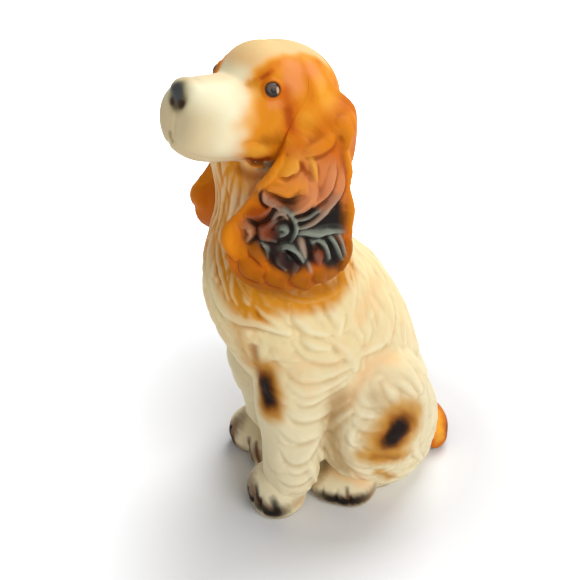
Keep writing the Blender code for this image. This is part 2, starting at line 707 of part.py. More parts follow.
def build_eye(name, side, head):
    """A glossy bead, let into the head until only its front stands proud."""
    on_skin, normal = eye_place(side, head)
    centre = on_skin - normal * (EYE_RADIUS - EYE_PROUD)
    bm = bmesh.new()
    bmesh.ops.create_uvsphere(bm, u_segments=16, v_segments=8, radius=EYE_RADIUS)
    bead = object_from_bmesh(name, bm)
    aim = normal.to_track_quat("Z", "Y").to_matrix().to_4x4()
    bead.data.transform(Matrix.Translation(centre) @ aim)
    return bead


def ear_form(name, side):
    swing = RIGHT_EAR_BACK if side < 0 else 0.0
    drop = RIGHT_EAR_DROP if side < 0 else 0.0
    rings = []
    for z, front, back, radius, thick in spread(EAR_ROWS, 26):
        angles = np.radians(np.linspace(front + swing, back + swing, 15))
        outer = [(radius + thick / 2, a) for a in angles]
        inner = [(radius - thick / 2, a) for a in angles[::-1]]
        edge = [(side * r * math.sin(a), EAR_AXIS_Y - r * math.cos(a), z - drop) for r, a in outer + inner]
        rings.append([Vector(mm(p)) for p in edge])
    pieces = [loft(name, rings)]
    for along, height, radius, wide, tall, thick in EAR_TIPS:
        turn = along / EAR_RADIUS + math.radians(swing)
        centre = (side * radius * math.sin(turn), EAR_AXIS_Y - radius * math.cos(turn), height - drop)
        aim = Matrix.Rotation(side * turn, 3, "Z")
        pieces.append(ellipsoid("tip", mm(centre), mm((wide, thick, tall)), aim))
    return fuse(name, pieces, voxel=1.0 * MM, rounds=8)


def build_ear(name, side, carriers):
    ear = add_locks(ear_form(name, side), ear_locks(side))
    return cut_by_all(reduce_faces(ear, FACES["ear"]), carriers)


def build_limbs(word, side, body, locks):
    """The foreleg, its paw and the hind paw, each cut by the ones that carry it."""
    foreleg = foreleg_form(word + "_foreleg", side, locks)
    centre, radii, turn = FOREPAWS[side]
    lobes = (RIGHT_TOES,) if side < 0 else ()
    forepaw = paw_form(word + "_forepaw", centre, radii, turn, FOREPAW_SQUARE, *lobes)
    x, y, z = HINDPAW_CENTRE
    ankle_x, ankle_y, ankle_z = ANKLE_CENTRE
    ankle = ((side * ankle_x, ankle_y, ankle_z), ANKLE_RADII)
    centre, turn = (side * x, y, z), side * HINDPAW_TURN
    hind_paw = paw_form(word + "_hind_paw", centre, HINDPAW_RADII, turn, HINDPAW_SQUARE, ankle)
    leg_mould, paw_mould = copy_of(foreleg), copy_of(forepaw)
    cut_by_all(foreleg, (body,))
    cut_by_all(forepaw, (body, leg_mould))
    cut_by_all(hind_paw, (body, leg_mould, paw_mould))
    for mould in (leg_mould, paw_mould):
        bpy.data.objects.remove(mould)
    for piece in (foreleg, forepaw, hind_paw):
        paint(piece, "cream_bisque")


def paint(obj, glaze):
    colour, roughness = GLAZES[glaze]
    material = bpy.data.materials.new(obj.name + "_" + glaze)
    material.use_nodes = True
    shader = material.node_tree.nodes["Principled BSDF"]
    shader.inputs["Base Color"].default_value = colour
    shader.inputs["Roughness"].default_value = roughness
    shader.inputs["Metallic"].default_value = 0.0
    obj.data.materials.clear()
    obj.data.materials.append(material)
    obj.data.polygons.foreach_set("use_smooth", [True] * len(obj.data.polygons))
    obj.data.update()


def build():
    clear_scene()
    locks = coat_locks()
    body = build_body(locks)
    head = build_head()
    paint(body, "cream_bisque")
    for word, side in (("left", 1), ("right", -1)):
        eye = build_eye(word + "_eye", side, head)
        cut(head, swollen(eye))
        paint(eye, "eye_gloss")
    paint(head, "cream_bisque")
    for word, side in (("left", 1), ("right", -1)):
        build_limbs(word, side, body, locks)
        ear = build_ear(word + "_ear", side, (head, body))
        paint(ear, "orange_bisque")
    tail = build_tail(body)
    paint(tail, "orange_bisque")


build()
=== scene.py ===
"""Seated spaniel figurine: carved coat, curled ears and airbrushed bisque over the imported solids.

The dog faces -Y with its left side at +X. Lengths are metres; profile rows are written in
millimetres, as in the CAD, and scaled by MM.
"""

import math

import bmesh
import bpy
import numpy as np
from mathutils import Euler, Matrix, Vector
from mathutils.bvhtree import BVHTree


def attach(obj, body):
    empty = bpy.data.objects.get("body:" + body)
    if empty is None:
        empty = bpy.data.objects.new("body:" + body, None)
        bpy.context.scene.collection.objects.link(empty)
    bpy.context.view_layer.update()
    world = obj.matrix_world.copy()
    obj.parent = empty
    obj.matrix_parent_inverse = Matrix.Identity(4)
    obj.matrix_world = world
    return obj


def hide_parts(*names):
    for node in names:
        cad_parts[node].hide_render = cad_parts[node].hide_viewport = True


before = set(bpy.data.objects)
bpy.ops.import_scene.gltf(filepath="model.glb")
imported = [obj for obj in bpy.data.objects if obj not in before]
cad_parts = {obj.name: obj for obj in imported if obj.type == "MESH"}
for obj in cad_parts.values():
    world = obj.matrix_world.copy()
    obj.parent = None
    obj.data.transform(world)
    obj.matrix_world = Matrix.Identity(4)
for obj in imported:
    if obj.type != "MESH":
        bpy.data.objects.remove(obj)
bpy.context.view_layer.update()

MM = 0.001
SIDES = (("left", 1), ("right", -1))
rng = np.random.default_rng(7)

# Forms, with the values of the CAD; the scene's own are the torso's top row, the lowest rows of
# the forelegs, the jowls, EYE_OPENING and EAR_EASE
TORSO_ROWS = (
    (0.0, 4.0, 33.0, 31.0),
    (10.0, 6.0, 37.0, 32.5),
    (24.0, 5.0, 37.5, 34.0),
    (45.0, -2.0, 35.8, 33.9),
    (62.0, -10.5, 33.5, 38.0),
    (76.0, -16.0, 31.5, 39.3),
    (90.0, -21.8, 30.0, 38.5),
    (102.0, -26.5, 28.5, 36.0),
    (114.0, -31.7, 28.0, 29.6),
    (126.0, -32.0, 27.0, 25.0),
    (140.0, -31.8, 25.0, 21.0),
    (162.0, -33.0, 21.5, 21.5),
    (173.0, -32.0, 15.0, 16.0),
)
HAUNCH_CENTRE = (26.0, -3.0, 38.0)
HAUNCH_RADII = (18.0, 26.5, 34.0)
FORELEG_ROWS = (
    (9.0, 18.5, -43.5, 8.0, 8.0),
    (13.0, 19.3, -41.8, 10.3, 10.3),
    (20.0, 19.0, -40.5, 12.0, 12.0),
    (40.0, 18.5, -38.0, 13.0, 14.0),
    (60.0, 17.5, -36.0, 13.5, 18.0),
    (76.0, 15.5, -31.0, 13.5, 17.0),
    (86.0, 13.0, -25.0, 8.0, 9.0),
)
RIGHT_PAW_BACK = 11.0
RIGHT_SHOULDER_BACK = 5.0
LEG_LEAN_LOW = 22.0
LEG_LEAN_HIGH = 48.0
FOREPAWS = {
    1: ((16.5, -46.5, 8.0), (12.8, 12.5, 12.5), 5.0),
    -1: ((-21.5, -35.4, 8.0), (10.8, 14.3, 12.0), -12.0),
}
RIGHT_TOES = ((-7.6, -40.2, 6.0), (8.4, 6.9, 7.8))
HINDPAW_CENTRE = (22.0, -14.5, 6.5)
HINDPAW_RADII = (14.7, 17.0, 9.0)
HINDPAW_TURN = 42.5
ANKLE_CENTRE = (18.0, -13.5, 13.0)
ANKLE_RADII = (9.5, 12.5, 11.0)
FOREPAW_SQUARE = 2.2
HINDPAW_SQUARE = 3.0
TOE_GROOVES = (-0.5, 0.0, 0.5)
TAIL_ROWS = (
    (-3.0, 30.0, 9.5, 9.0),
    (7.5, 35.5, 7.8, 8.3),
    (18.7, 35.4, 6.9, 7.2),
    (27.0, 31.8, 5.4, 4.6),
)
HEAD_CENTRE = (0.0, -34.0, 178.0)
HEAD_PITCH = 15.0
HEAD_TURN = 16.0
SKULL_CENTRE = (0.0, -4.6, 0.3)
SKULL_RADII = (20.4, 25.0, 19.7)
FOREHEAD_CENTRE = (0.0, 3.9, 8.2)
FOREHEAD_RADII = (13.0, 15.1, 11.8)
BROW_CENTRE = (5.6, 8.1, 8.1)
BROW_RADII = (8.9, 6.8, 7.3)
CHEEK_CENTRE = (9.5, 4.0, -7.5)
CHEEK_RADII = (10.5, 14.0, 12.0)
JOWL_CENTRE = (8.0, 4.0, -14.5)
JOWL_RADII = (9.0, 12.0, 10.5)
MUZZLE_ROWS = (
    (4.0, -5.0, 16.0, 15.5),
    (14.0, -5.4, 14.8, 15.0),
    (24.0, -5.6, 14.0, 14.4),
    (32.0, -5.3, 13.0, 13.5),
    (38.0, -4.9, 10.5, 10.8),
    (40.0, -4.4, 6.5, 7.3),
)
NOSE_CENTRE = (0.0, 36.0, 4.0)
NOSE_RADII = (6.5, 5.0, 4.6)
EYE_CENTRE = (12.5, 11.0, 6.5)
EYE_RADIUS = 3.2 * MM
EYE_PROUD = 1.5 * MM
EYE_OPENING = 1.95
EAR_ROWS = (
    (120.0, 60.0, 96.0, 31.5, 5.0),
    (123.0, 46.0, 104.0, 32.0, 8.0),
    (131.0, 36.0, 110.0, 32.0, 10.0),
    (144.0, 34.0, 114.0, 30.5, 10.0),
    (154.0, 46.0, 118.0, 27.8, 9.0),
    (166.0, 66.0, 134.0, 27.6, 8.0),
    (176.0, 82.0, 143.0, 26.2, 8.0),
    (184.0, 100.0, 142.0, 22.6, 7.0),
    (191.0, 116.0, 138.0, 16.5, 5.0),
)
EAR_AXIS_Y = -33.0
EAR_RADIUS = 35.0
RIGHT_EAR_BACK = 22.0
RIGHT_EAR_DROP = 9.5
EAR_EASE = (168.0, 181.0)

# Rounded tips along the ear's lower edge and its swell at the top: millimetres round the ear
# and up, distance from its axis, then half width, half height and half thickness
EAR_TIPS = (
    (22.0, 141.0, 33.0, 3.2, 6.0, 4.0),
    (27.5, 131.0, 34.0, 4.0, 5.5, 4.0),
    (33.5, 126.5, 33.5, 4.2, 5.0, 4.0),
    (41.0, 124.0, 33.0, 4.2, 5.0, 4.0),
    (49.0, 123.0, 32.5, 4.2, 5.0, 4.0),
    (57.0, 124.0, 32.0, 4.2, 5.0, 4.0),
    (63.0, 128.5, 32.0, 3.4, 5.0, 4.0),
    (74.0, 172.0, 27.5, 8.0, 12.0, 5.0),
)

# The photograph's camera: place, turn in degrees, lens for a 36 mm sensor
CAMERA_PLACE = (0.2681, -0.1675, 0.3035)
CAMERA_TURN = (55.43, 1.85, 61.20)
CAMERA_LENS = 57.1
SENSOR_WIDTH = 36.0
PHOTO_SIZE = 580

# Light: place and watts of the two lamps, the size and aim of both, strength of the surround
# low and high in it, colour of the paper, and from where to where it fades into the surround
KEY_PLACE = (-0.31, 0.47, 0.83)
KEY_POWER = 6.0
SIDE_PLACE = (0.62, 0.06, 0.58)
SIDE_POWER = 2.8
LAMP_SIZE = 0.6
LAMP_AIM = (0.0, 0.0, 0.05)
SURROUND_BAND = (0.2, 0.5)
SURROUND_LOW = 0.95
SURROUND_HIGH = 0.12
FLOOR_WHITE = (0.92, 0.93, 0.95)
FLOOR_FADE = (0.06, 0.23)

# Lie of the coat, as combing strokes seen in the photograph: from x, y to x, y in its pixels
COMB_STROKES = (
    (222, 175, 214, 230),
    (212, 240, 208, 290),
    (222, 250, 228, 300),
    (212, 300, 236, 335),
    (235, 300, 285, 332),
    (250, 340, 252, 375),
    (300, 300, 325, 322),
    (335, 295, 352, 320),
    (300, 340, 345, 352),
    (300, 372, 345, 362),
    (298, 398, 342, 390),
    (296, 425, 335, 418),
    (290, 450, 325, 470),
    (318, 440, 322, 485),
    (270, 340, 264, 380),
    (266, 400, 264, 440),
    (272, 440, 268, 475),
    (362, 260, 385, 300),
    (385, 290, 405, 330),
    (400, 320, 418, 365),
    (415, 350, 428, 400),
    (366, 320, 352, 350),
    (372, 340, 362, 372),
    (378, 372, 412, 392),
    (385, 365, 422, 380),
    (368, 385, 380, 412),
    (360, 400, 350, 430),
    (350, 430, 362, 458),
    (362, 456, 400, 462),
    (402, 458, 428, 440),
    (420, 430, 424, 398),
    (352, 458, 380, 482),
    (385, 480, 412, 468),
)

# Big locks of the coat on the dog's left: width and depth in millimetres, then the line that
# each one follows in the photograph's pixels; the right side has them mirrored. All are carved
# wider and flatter by the two factors, so that their soft edges meet
LOCK_WIDEN = 1.7
LOCK_FLATTEN = 0.85
BODY_LOCKS = (
    (1.7, 0.9, ((230, 250), (236, 268), (242, 286), (252, 301))),
    (1.5, 0.9, ((238, 258), (233, 274), (232, 292), (238, 304))),
    (2.6, 1.0, ((216, 232), (219, 255), (223, 276), (229, 300))),
    (6.6, 1.8, ((213, 282), (222, 302), (236, 313), (256, 320), (287, 331))),
    (3.2, 1.2, ((254, 304), (266, 313), (278, 322), (290, 333))),
    (4.6, 1.2, ((206, 300), (214, 322), (228, 340), (244, 354))),
    (3.0, 1.2, ((209, 232), (206, 250), (205, 268), (207, 286))),
    (2.2, 1.2, ((229, 168), (224, 190), (222, 212), (217, 232))),
    (2.4, 1.2, ((237, 170), (236, 190), (232, 210), (226, 235))),
    (2.0, 1.0, ((243, 250), (249, 268), (258, 281), (272, 289))),
    (1.5, 0.9, ((245, 272), (261, 281), (277, 285), (297, 285), (322, 281), (342, 268))),
    (1.7, 0.9, ((259, 290), (284, 296), (303, 301), (322, 299), (338, 290))),
    (5.2, 1.5, ((294, 306), (303, 318), (314, 328), (327, 333))),
    (4.2, 1.5, ((322, 296), (333, 306), (339, 320), (338, 334))),
    (2.6, 1.0, ((324, 316), (331, 328), (339, 334))),
    (4.4, 1.4, ((303, 328), (310, 339), (319, 345), (328, 347))),
    (5.4, 1.6, ((331, 337), (345, 343), (353, 355), (355, 368))),
    (5.4, 1.1, ((294, 342), (312, 352), (332, 356), (346, 352))),
    (5.4, 1.3, ((283, 364), (305, 372), (330, 371), (353, 362))),
    (4.2, 1.4, ((290, 384), (305, 390), (325, 386), (345, 375))),
    (3.8, 1.4, ((292, 396), (306, 400), (322, 395), (344, 383))),
    (5.0, 1.4, ((283, 408), (302, 414), (322, 411), (346, 399))),
    (6.2, 1.5, ((279, 426), (295, 434), (315, 430), (332, 418), (349, 409))),
    (6.4, 1.6, ((281, 447), (296, 456), (308, 450), (320, 434))),
    (2.6, 1.0, ((286, 468), (298, 471), (311, 464))),
    (4.4, 1.3, ((273, 474), (290, 480), (305, 477), (314, 466))),
    (2.8, 1.8, ((309, 460), (314, 475), (317, 489))),
    (3.2, 2.0, ((318, 446), (325, 464), (320, 483))),
    (2.4, 1.6, ((321, 436), (328, 446), (332, 458))),
    (5.2, 1.2, ((366, 262), (374, 282), (386, 302), (391, 322), (388, 341))),
    (5.2, 1.2, ((384, 268), (396, 292), (402, 316), (404, 342))),
    (4.6, 1.2, ((398, 292), (410, 318), (417, 347))),
    (6.2, 1.4, ((370, 298), (383, 318), (383, 334), (372, 345), (361, 352))),
    (3.2, 1.0, ((358, 316), (367, 328), (366, 342))),
    (6.0, 1.6, ((366, 373), (378, 363), (394, 364), (408, 372), (420, 389))),
    (5.0, 1.5, ((372, 382), (385, 371), (402, 380), (415, 396))),
    (4.2, 1.4, ((371, 383), (377, 396), (387, 405))),
    (4.2, 1.4, ((384, 376), (392, 390), (397, 404))),
    (4.2, 1.3, ((366, 378), (362, 390), (368, 400), (381, 405))),
    (4.2, 1.3, ((359, 394), (358, 404), (365, 412), (379, 415))),
    (4.4, 1.3, ((356, 410), (360, 420), (370, 427), (385, 426))),
    (3.6, 1.2, ((367, 434), (370, 444), (384, 448))),
    (2.6, 1.2, ((361, 424), (354, 428), (350, 436), (354, 444), (362, 443))),
    (3.6, 1.3, ((347, 442), (354, 458), (368, 464), (387, 460))),
    (3.6, 1.3, ((340, 440), (346, 456), (358, 467), (374, 472), (393, 466))),
    (4.2, 1.3, ((352, 466), (366, 475), (384, 480), (405, 476))),
    (3.8, 1.3, ((384, 470), (400, 473), (415, 466))),
    (4.2, 1.2, ((424, 378), (431, 400), (430, 424), (422, 445))),
    (3.6, 1.6, ((414, 440), (417, 452), (424, 461))),
    (4.4, 0.9, ((388, 412), (404, 408), (416, 418), (418, 437))),
    (4.2, 1.0, ((386, 452), (402, 454), (417, 443))),
)

# Glaze colours as they look, from 0 to 255
CREAM = (244, 224, 170)
# the coat's creases: wash in the grooves and painted shade; its crests: painted highlight
CREAM_WASH_AND_SHADE = (200, 168, 118)
CREAM_PAINTED_HIGHLIGHT = (250, 238, 200)
CREAM_LOW = (236, 222, 184)
MUZZLE_CREAM = (252, 244, 206)
# tan on the muzzle, which also stands for painted shade there
MUZZLE_TAN_AND_SHADE = (224, 198, 150)
FOREHEAD = (242, 200, 140)
BLAZE = (240, 206, 140)
PEACH = (248, 196, 136)
# a painted highlight in pink on the head
PAINTED_PINK_HIGHLIGHT = (244, 150, 92)
YELLOW = (246, 176, 60)
ORANGE = (234, 144, 26)
EAR_ORANGE = (210, 110, 2)
RIM_ORANGE = (238, 148, 22)
DEEP_ORANGE = (204, 92, 4)
FRINGE = (162, 90, 0)
RUST = (158, 62, 4)
DARK_RUST = (120, 44, 4)
EAR_PINK = (220, 142, 94)
EAR_RED = (150, 66, 26)
EAR_PLUM = (70, 38, 34)
EAR_DARK = (20, 12, 9)
# painted sheen on the ear's black curls
EAR_PAINTED_SHEEN = (156, 162, 146)
EAR_ASH = (182, 150, 126)
OCHRE = (218, 142, 26)
DEEP_OCHRE = (158, 84, 0)
GOLD = (206, 146, 46)
SHADE = (184, 146, 92)
BROWN = (98, 54, 16)
BROWN_BLACK = (22, 8, 3)
NOSE_GREY = (72, 76, 78)
NOSE_BROWN = (74, 60, 34)
CLAW_BLACK = (20, 15, 12)
OLIVE = (160, 142, 96)
IRIS = (112, 92, 82)
EYE_BLACK = (20, 15, 14)
EYE_RIM = (52, 28, 14)
# a painted reflection on the eye
EYE_PAINTED_REFLECTION = (214, 176, 136)

# Locks of the left ear: width and height in millimetres, glaze, then the line that each one
# follows in the photograph's pixels; those of a height below zero are gaps between locks. The
# grey-green ridges are painted sheen on the black curls
EAR_LOCKS = (
    (4.4, -0.1, DEEP_ORANGE, ((324, 106), (321, 120), (312, 134))),
    (1.9, -0.5, RUST, ((284, 155), (298, 150), (312, 143), (324, 133))),
    (2.2, -0.2, RUST, ((341, 128), (343, 150), (344, 174))),
    (5.0, 1.0, DEEP_ORANGE, ((331, 106), (318, 121), (303, 135), (288, 148))),
    (4.0, 1.0, ORANGE, ((339, 126), (330, 139), (314, 149), (298, 157))),
    (0.9, -1.0, DARK_RUST, ((282, 155), (296, 151), (310, 143), (325, 134))),
    (5.0, 1.0, ORANGE, ((337, 88), (347, 106), (350, 126), (347, 146))),
    (0.9, -0.7, RUST, ((338, 127), (341, 134), (343, 142))),
    (2.2, 1.0, ORANGE, ((345, 142), (349, 165), (352, 190), (351, 214), (349, 232))),
    (3.2, 1.0, YELLOW, ((298, 160), (291, 169), (281, 175))),
    (0.9, -0.8, DARK_RUST, ((280, 177), (287, 180), (294, 174))),
    (1.3, -0.7, RUST, ((301, 161), (305, 171), (311, 179))),
    (1.4, 0.9, YELLOW, ((311, 157), (314, 168), (316, 183))),
    (2.6, 1.2, EAR_PINK, ((334, 160), (332, 175), (326, 191), (314, 206))),
    (2.6, 1.2, EAR_PINK, ((342, 166), (341, 184), (334, 200), (322, 213))),
    (4.2, 1.4, EAR_PINK, ((297, 181), (306, 186), (309, 196), (301, 207), (291, 213))),
    (4.4, 1.6, ORANGE, ((306, 178), (298, 187), (286, 191), (271, 188))),
    (5.0, 1.0, RIM_ORANGE, ((286, 156), (271, 172), (257, 184), (246, 195), (236, 209))),
    (5.0, 0.9, RIM_ORANGE, ((238, 206), (231, 222), (228, 240), (236, 256))),
    (2.2, -1.0, EAR_DARK, ((271, 193), (283, 201), (292, 200), (299, 192))),
    (1.7, 1.2, EAR_ASH, ((263, 193), (266, 201), (273, 204), (279, 209))),
    (0.7, -0.5, EAR_DARK, ((263, 189), (260, 196), (262, 203), (269, 206))),
    (3.0, 1.3, DEEP_ORANGE, ((245, 215), (256, 216), (265, 211), (272, 204))),
    (1.9, -0.9, EAR_DARK, ((246, 222), (258, 221), (268, 217), (276, 209))),
    (2.8, 1.4, EAR_PINK, ((241, 226), (249, 226), (252, 233), (247, 240))),
    (1.3, -0.9, EAR_DARK, ((250, 221), (256, 228), (255, 237), (249, 243))),
    (3.8, 1.3, EAR_RED, ((275, 221), (264, 227), (266, 235), (275, 240))),
    (1.5, 1.0, EAR_ASH, ((271, 221), (276, 214), (283, 213), (288, 219))),
    (1.2, 1.4, EAR_PAINTED_SHEEN, ((281, 208), (289, 213), (295, 221), (296, 232), (291, 242))),
    (1.0, -0.6, EAR_DARK, ((279, 224), (286, 222), (291, 226), (292, 233))),
    (1.5, 1.2, EAR_PAINTED_SHEEN, ((279, 229), (285, 229), (286, 233), (280, 236))),
    (2.8, -0.8, EAR_DARK, ((268, 241), (278, 244), (286, 242), (292, 234))),
    (4.2, -0.6, EAR_DARK, ((342, 200), (338, 213), (328, 222), (317, 226))),
    (3.2, -0.6, EAR_DARK, ((345, 210), (342, 225), (329, 229))),
    (1.8, 1.2, EAR_ASH, ((337, 195), (331, 206), (322, 215), (311, 224), (299, 228))),
    (1.0, -0.7, EAR_DARK, ((326, 201), (315, 210), (305, 215), (293, 217))),
    (0.9, 0.9, EAR_PAINTED_SHEEN, ((321, 209), (310, 218), (297, 221))),
    (0.8, -0.6, EAR_DARK, ((318, 214), (306, 222), (295, 224))),
    (2.1, 1.4, EAR_PAINTED_SHEEN, ((294, 234), (306, 232), (318, 233), (331, 231), (344, 231))),
    (1.4, 1.2, EAR_PAINTED_SHEEN, ((328, 232), (335, 243), (342, 259))),
    (1.0, -0.6, EAR_DARK, ((324, 236), (331, 248), (338, 262))),
    (0.9, 1.0, EAR_PAINTED_SHEEN, ((338, 231), (342, 243), (345, 256))),
    (0.6, -0.5, EAR_DARK, ((334, 235), (339, 246), (342, 257))),
    (1.5, 1.3, EAR_PAINTED_SHEEN, ((311, 243), (318, 239), (325, 245), (329, 258))),
    (1.1, -0.7, EAR_DARK, ((307, 239), (310, 249), (311, 260))),
    (1.8, 1.0, EAR_ASH, ((300, 237), (302, 246), (305, 257))),
    (2.6, 1.0, EAR_RED, ((318, 249), (319, 263))),
    (1.7, 1.4, EAR_PAINTED_SHEEN, ((281, 249), (289, 247), (297, 251), (303, 261))),
    (0.8, -0.6, EAR_DARK, ((287, 251), (294, 257), (300, 264))),
    (2.2, 0.7, EAR_PLUM, ((281, 252), (280, 261), (286, 269))),
    (1.2, 1.1, EAR_PAINTED_SHEEN, ((260, 240), (266, 248), (268, 258))),
    (1.5, -0.7, EAR_DARK, ((263, 247), (269, 256), (272, 266))),
    (3.0, 1.0, FRINGE, ((248, 246), (257, 252), (263, 263))),
    (2.2, 0.8, EAR_PLUM, ((296, 262), (293, 273))),
    (0.9, 0.6, EAR_ASH, ((308, 262), (311, 273))),
    (2.4, -0.5, EAR_DARK, ((333, 258), (339, 267))),
    (3.4, 0.8, FRINGE, ((241, 258), (250, 272), (262, 280))),
    (3.0, 0.8, FRINGE, ((268, 270), (274, 280), (284, 285))),
    (3.0, 0.8, FRINGE, ((294, 273), (299, 281), (306, 286))),
    (3.0, 0.8, FRINGE, ((318, 271), (322, 279), (326, 284))),
    (2.6, 1.0, FRINGE, ((348, 236), (349, 246), (346, 259), (341, 269))),
)

# Glaze on the paws: colour, half width in millimetres, strength, line in the photograph's pixels
PAW_GLAZE = {
    "left_forepaw": (
        (BROWN, 3.6, 0.85, ((250, 468), (250, 484), (256, 500), (266, 510), (282, 513))),
        (CLAW_BLACK, 2.2, 1.0, ((246, 476), (247, 490), (253, 503))),
        (CLAW_BLACK, 3.0, 1.0, ((256, 506), (266, 512), (274, 514), (282, 512))),
        (BROWN_BLACK, 1.1, 0.9, ((256, 486), (258, 498), (262, 509))),
        (BROWN_BLACK, 1.5, 0.9, ((273, 499), (276, 508), (279, 515))),
        (SHADE, 2.4, 0.5, ((290, 508), (302, 498))),
    ),
    "right_forepaw": (
        (BROWN, 3.6, 0.85, ((240, 418), (231, 432), (234, 444), (246, 452))),
        (CLAW_BLACK, 2.0, 1.0, ((230, 425), (230, 438), (236, 447), (246, 453))),
        (BROWN, 0.9, 0.9, ((249, 438), (250, 450), (254, 462))),
        (BROWN, 0.9, 0.9, ((256, 442), (257, 454), (261, 466))),
        (BROWN, 2.8, 0.7, ((252, 448), (260, 462))),
    ),
    "hind_paw": (
        (BROWN, 3.2, 0.85, ((318, 496), (334, 500), (350, 502), (366, 498), (374, 490))),
        (CLAW_BLACK, 2.6, 1.0, ((320, 496), (334, 500), (350, 502), (364, 499))),
        (BROWN, 0.8, 0.8, ((347, 488), (348, 500))),
        (PEACH, 3.4, 0.6, ((330, 470), (350, 474), (368, 482))),
        (SHADE, 2.4, 0.7, ((318, 480), (324, 470), (330, 460))),
    ),
}

# Outlines of painted areas in the photograph's pixels
FACE_MASK = (
    (240, 172), (244, 158), (244, 146), (247, 130), (252, 112), (253, 96), (249, 84),
    (255, 70), (266, 61), (283, 54), (300, 52), (316, 56), (330, 69),
)
EAR_DARK_ZONE = (
    (258, 192), (268, 198), (280, 206), (296, 200), (304, 210), (320, 206), (334, 194),
    (343, 204), (343, 224), (338, 236), (342, 256), (337, 270), (324, 266), (312, 261),
    (302, 272), (290, 276), (278, 268), (270, 258), (256, 246), (245, 238), (242, 224),
    (250, 214), (262, 208),
)
EAR_PINK_ZONE = (
    (272, 178), (292, 162), (312, 150), (330, 160), (344, 180), (347, 205), (338, 214),
    (318, 212), (300, 212), (284, 206), (268, 200), (260, 190),
)


def linear(colour):
    """A colour as it looks, as the shader wants it."""
    c = np.array(colour, float) / 255
    return np.where(c <= 0.04045, c / 12.92, ((c + 0.055) / 1.055) ** 2.4)


def mm(values):
    return tuple(v * MM for v in values)


def step(low, high, value):
    t = np.clip((value - low) / (high - low), 0, 1)
    return t * t * (3 - 2 * t)


def add_object(name, data):
    obj = bpy.data.objects.new(name, data)
    bpy.context.scene.collection.objects.link(obj)
    return obj


def object_from_bmesh(name, bm):
    bmesh.ops.recalc_face_normals(bm, faces=bm.faces)
    mesh = bpy.data.meshes.new(name)
    bm.to_mesh(mesh)
    bm.free()
    return add_object(name, mesh)


def read_array(items, name, width, kind=float):
    """A property of a mesh's points or edges as an array, one row for each."""
    values = np.empty(len(items) * width, kind)
    items.foreach_get(name, values)
    return values.reshape(-1, width)


def spread(rows, count):
    """The rows, made into count rows along a smooth curve through them."""
    rows = np.array(rows, float)
    place = np.linspace(0, len(rows) - 1, count)
    index = np.clip(place.astype(int), 0, len(rows) - 2)
    t = (place - index)[:, None]
    before = rows[np.clip(index - 1, 0, len(rows) - 1)]
    a, b = rows[index], rows[index + 1]
    after = rows[np.clip(index + 2, 0, len(rows) - 1)]
    leave, arrive = (b - before) / 2, (after - a) / 2
    blend = a * (2 * t**3 - 3 * t**2 + 1) + b * (3 * t**2 - 2 * t**3)
    return blend + leave * (t**3 - 2 * t**2 + t) + arrive * (t**3 - t**2)


def loft(name, rings):
    bm = bmesh.new()
    loops = [[bm.verts.new(p) for p in ring] for ring in rings]
    for low, high in zip(loops, loops[1:]):
        for i in range(len(low)):
            j = (i + 1) % len(low)
            bm.faces.new((low[i], low[j], high[j], high[i]))
    bm.faces.new(loops[0])
    bm.faces.new(loops[-1])
    return object_from_bmesh(name, bm)


def ring(centre, across, along, count=64):
    turns = [2 * math.pi * i / count for i in range(count)]
    return [Vector(centre) + Vector(across) * math.cos(a) + Vector(along) * math.sin(a) for a in turns]


def ellipsoid(name, centre, radii, turn=Matrix.Identity(3), square=2.0):
    """An ellipsoid; a square above 2 fills its corners out."""
    bm = bmesh.new()
    bmesh.ops.create_icosphere(bm, subdivisions=5, radius=1.0)
    for vert in bm.verts:
        fuller = sum(abs(c) ** square for c in vert.co) ** (-1 / square)
        vert.co = turn @ Vector(x * r * fuller for x, r in zip(vert.co, radii)) + Vector(centre)
    return object_from_bmesh(name, bm)


def apply_modifiers(obj):
    graph = bpy.context.evaluated_depsgraph_get()
    mesh = bpy.data.meshes.new_from_object(obj.evaluated_get(graph))
    obj.modifiers.clear()
    obj.data = mesh
    return obj


def fuse(name, pieces, voxel, rounds):
    """One fine skin over overlapping pieces, its creases softened."""
    bm = bmesh.new()
    for piece in pieces:
        bm.from_mesh(piece.data)
        bpy.data.objects.remove(piece)
    obj = object_from_bmesh(name, bm)
    remesh = obj.modifiers.new("skin", "REMESH")
    remesh.mode = "VOXEL"
    remesh.voxel_size = voxel
    soften = obj.modifiers.new("soften", "SMOOTH")
    soften.iterations = rounds
    soften.factor = 0.5
    refine = obj.modifiers.new("refine", "SUBSURF")
    refine.levels = 1
    refine.render_levels = 1
    return apply_modifiers(obj)


def line_gaps(points, line, normals):
    """For each point: its distance from a line, how far along it is, and which leg is nearest.

    Last comes its side, from -1 above the line to 1 below it, near 0 where the line hangs.
    """
    legs = line[1:] - line[:-1]
    offset = points[:, None, :] - line[None, :-1, :]
    share = np.clip((offset * legs).sum(axis=2) / ((legs**2).sum(axis=1) + 1e-12), 0, 1)
    gap = offset - share[:, :, None] * legs[None, :, :]
    distance = np.sqrt((gap**2).sum(axis=2))
    leg = distance.argmin(axis=1)
    row = np.arange(len(points))
    along = (leg + share[row, leg]) / len(legs)
    across = np.cross(legs, normals[:-1])
    across /= np.linalg.norm(across, axis=1)[:, None] + 1e-12
    side = np.sign((gap[row, leg] * across[leg]).sum(axis=1))
    return distance[row, leg], along, leg, side, side * np.clip(-1.6 * across[leg, 2], -1, 1)


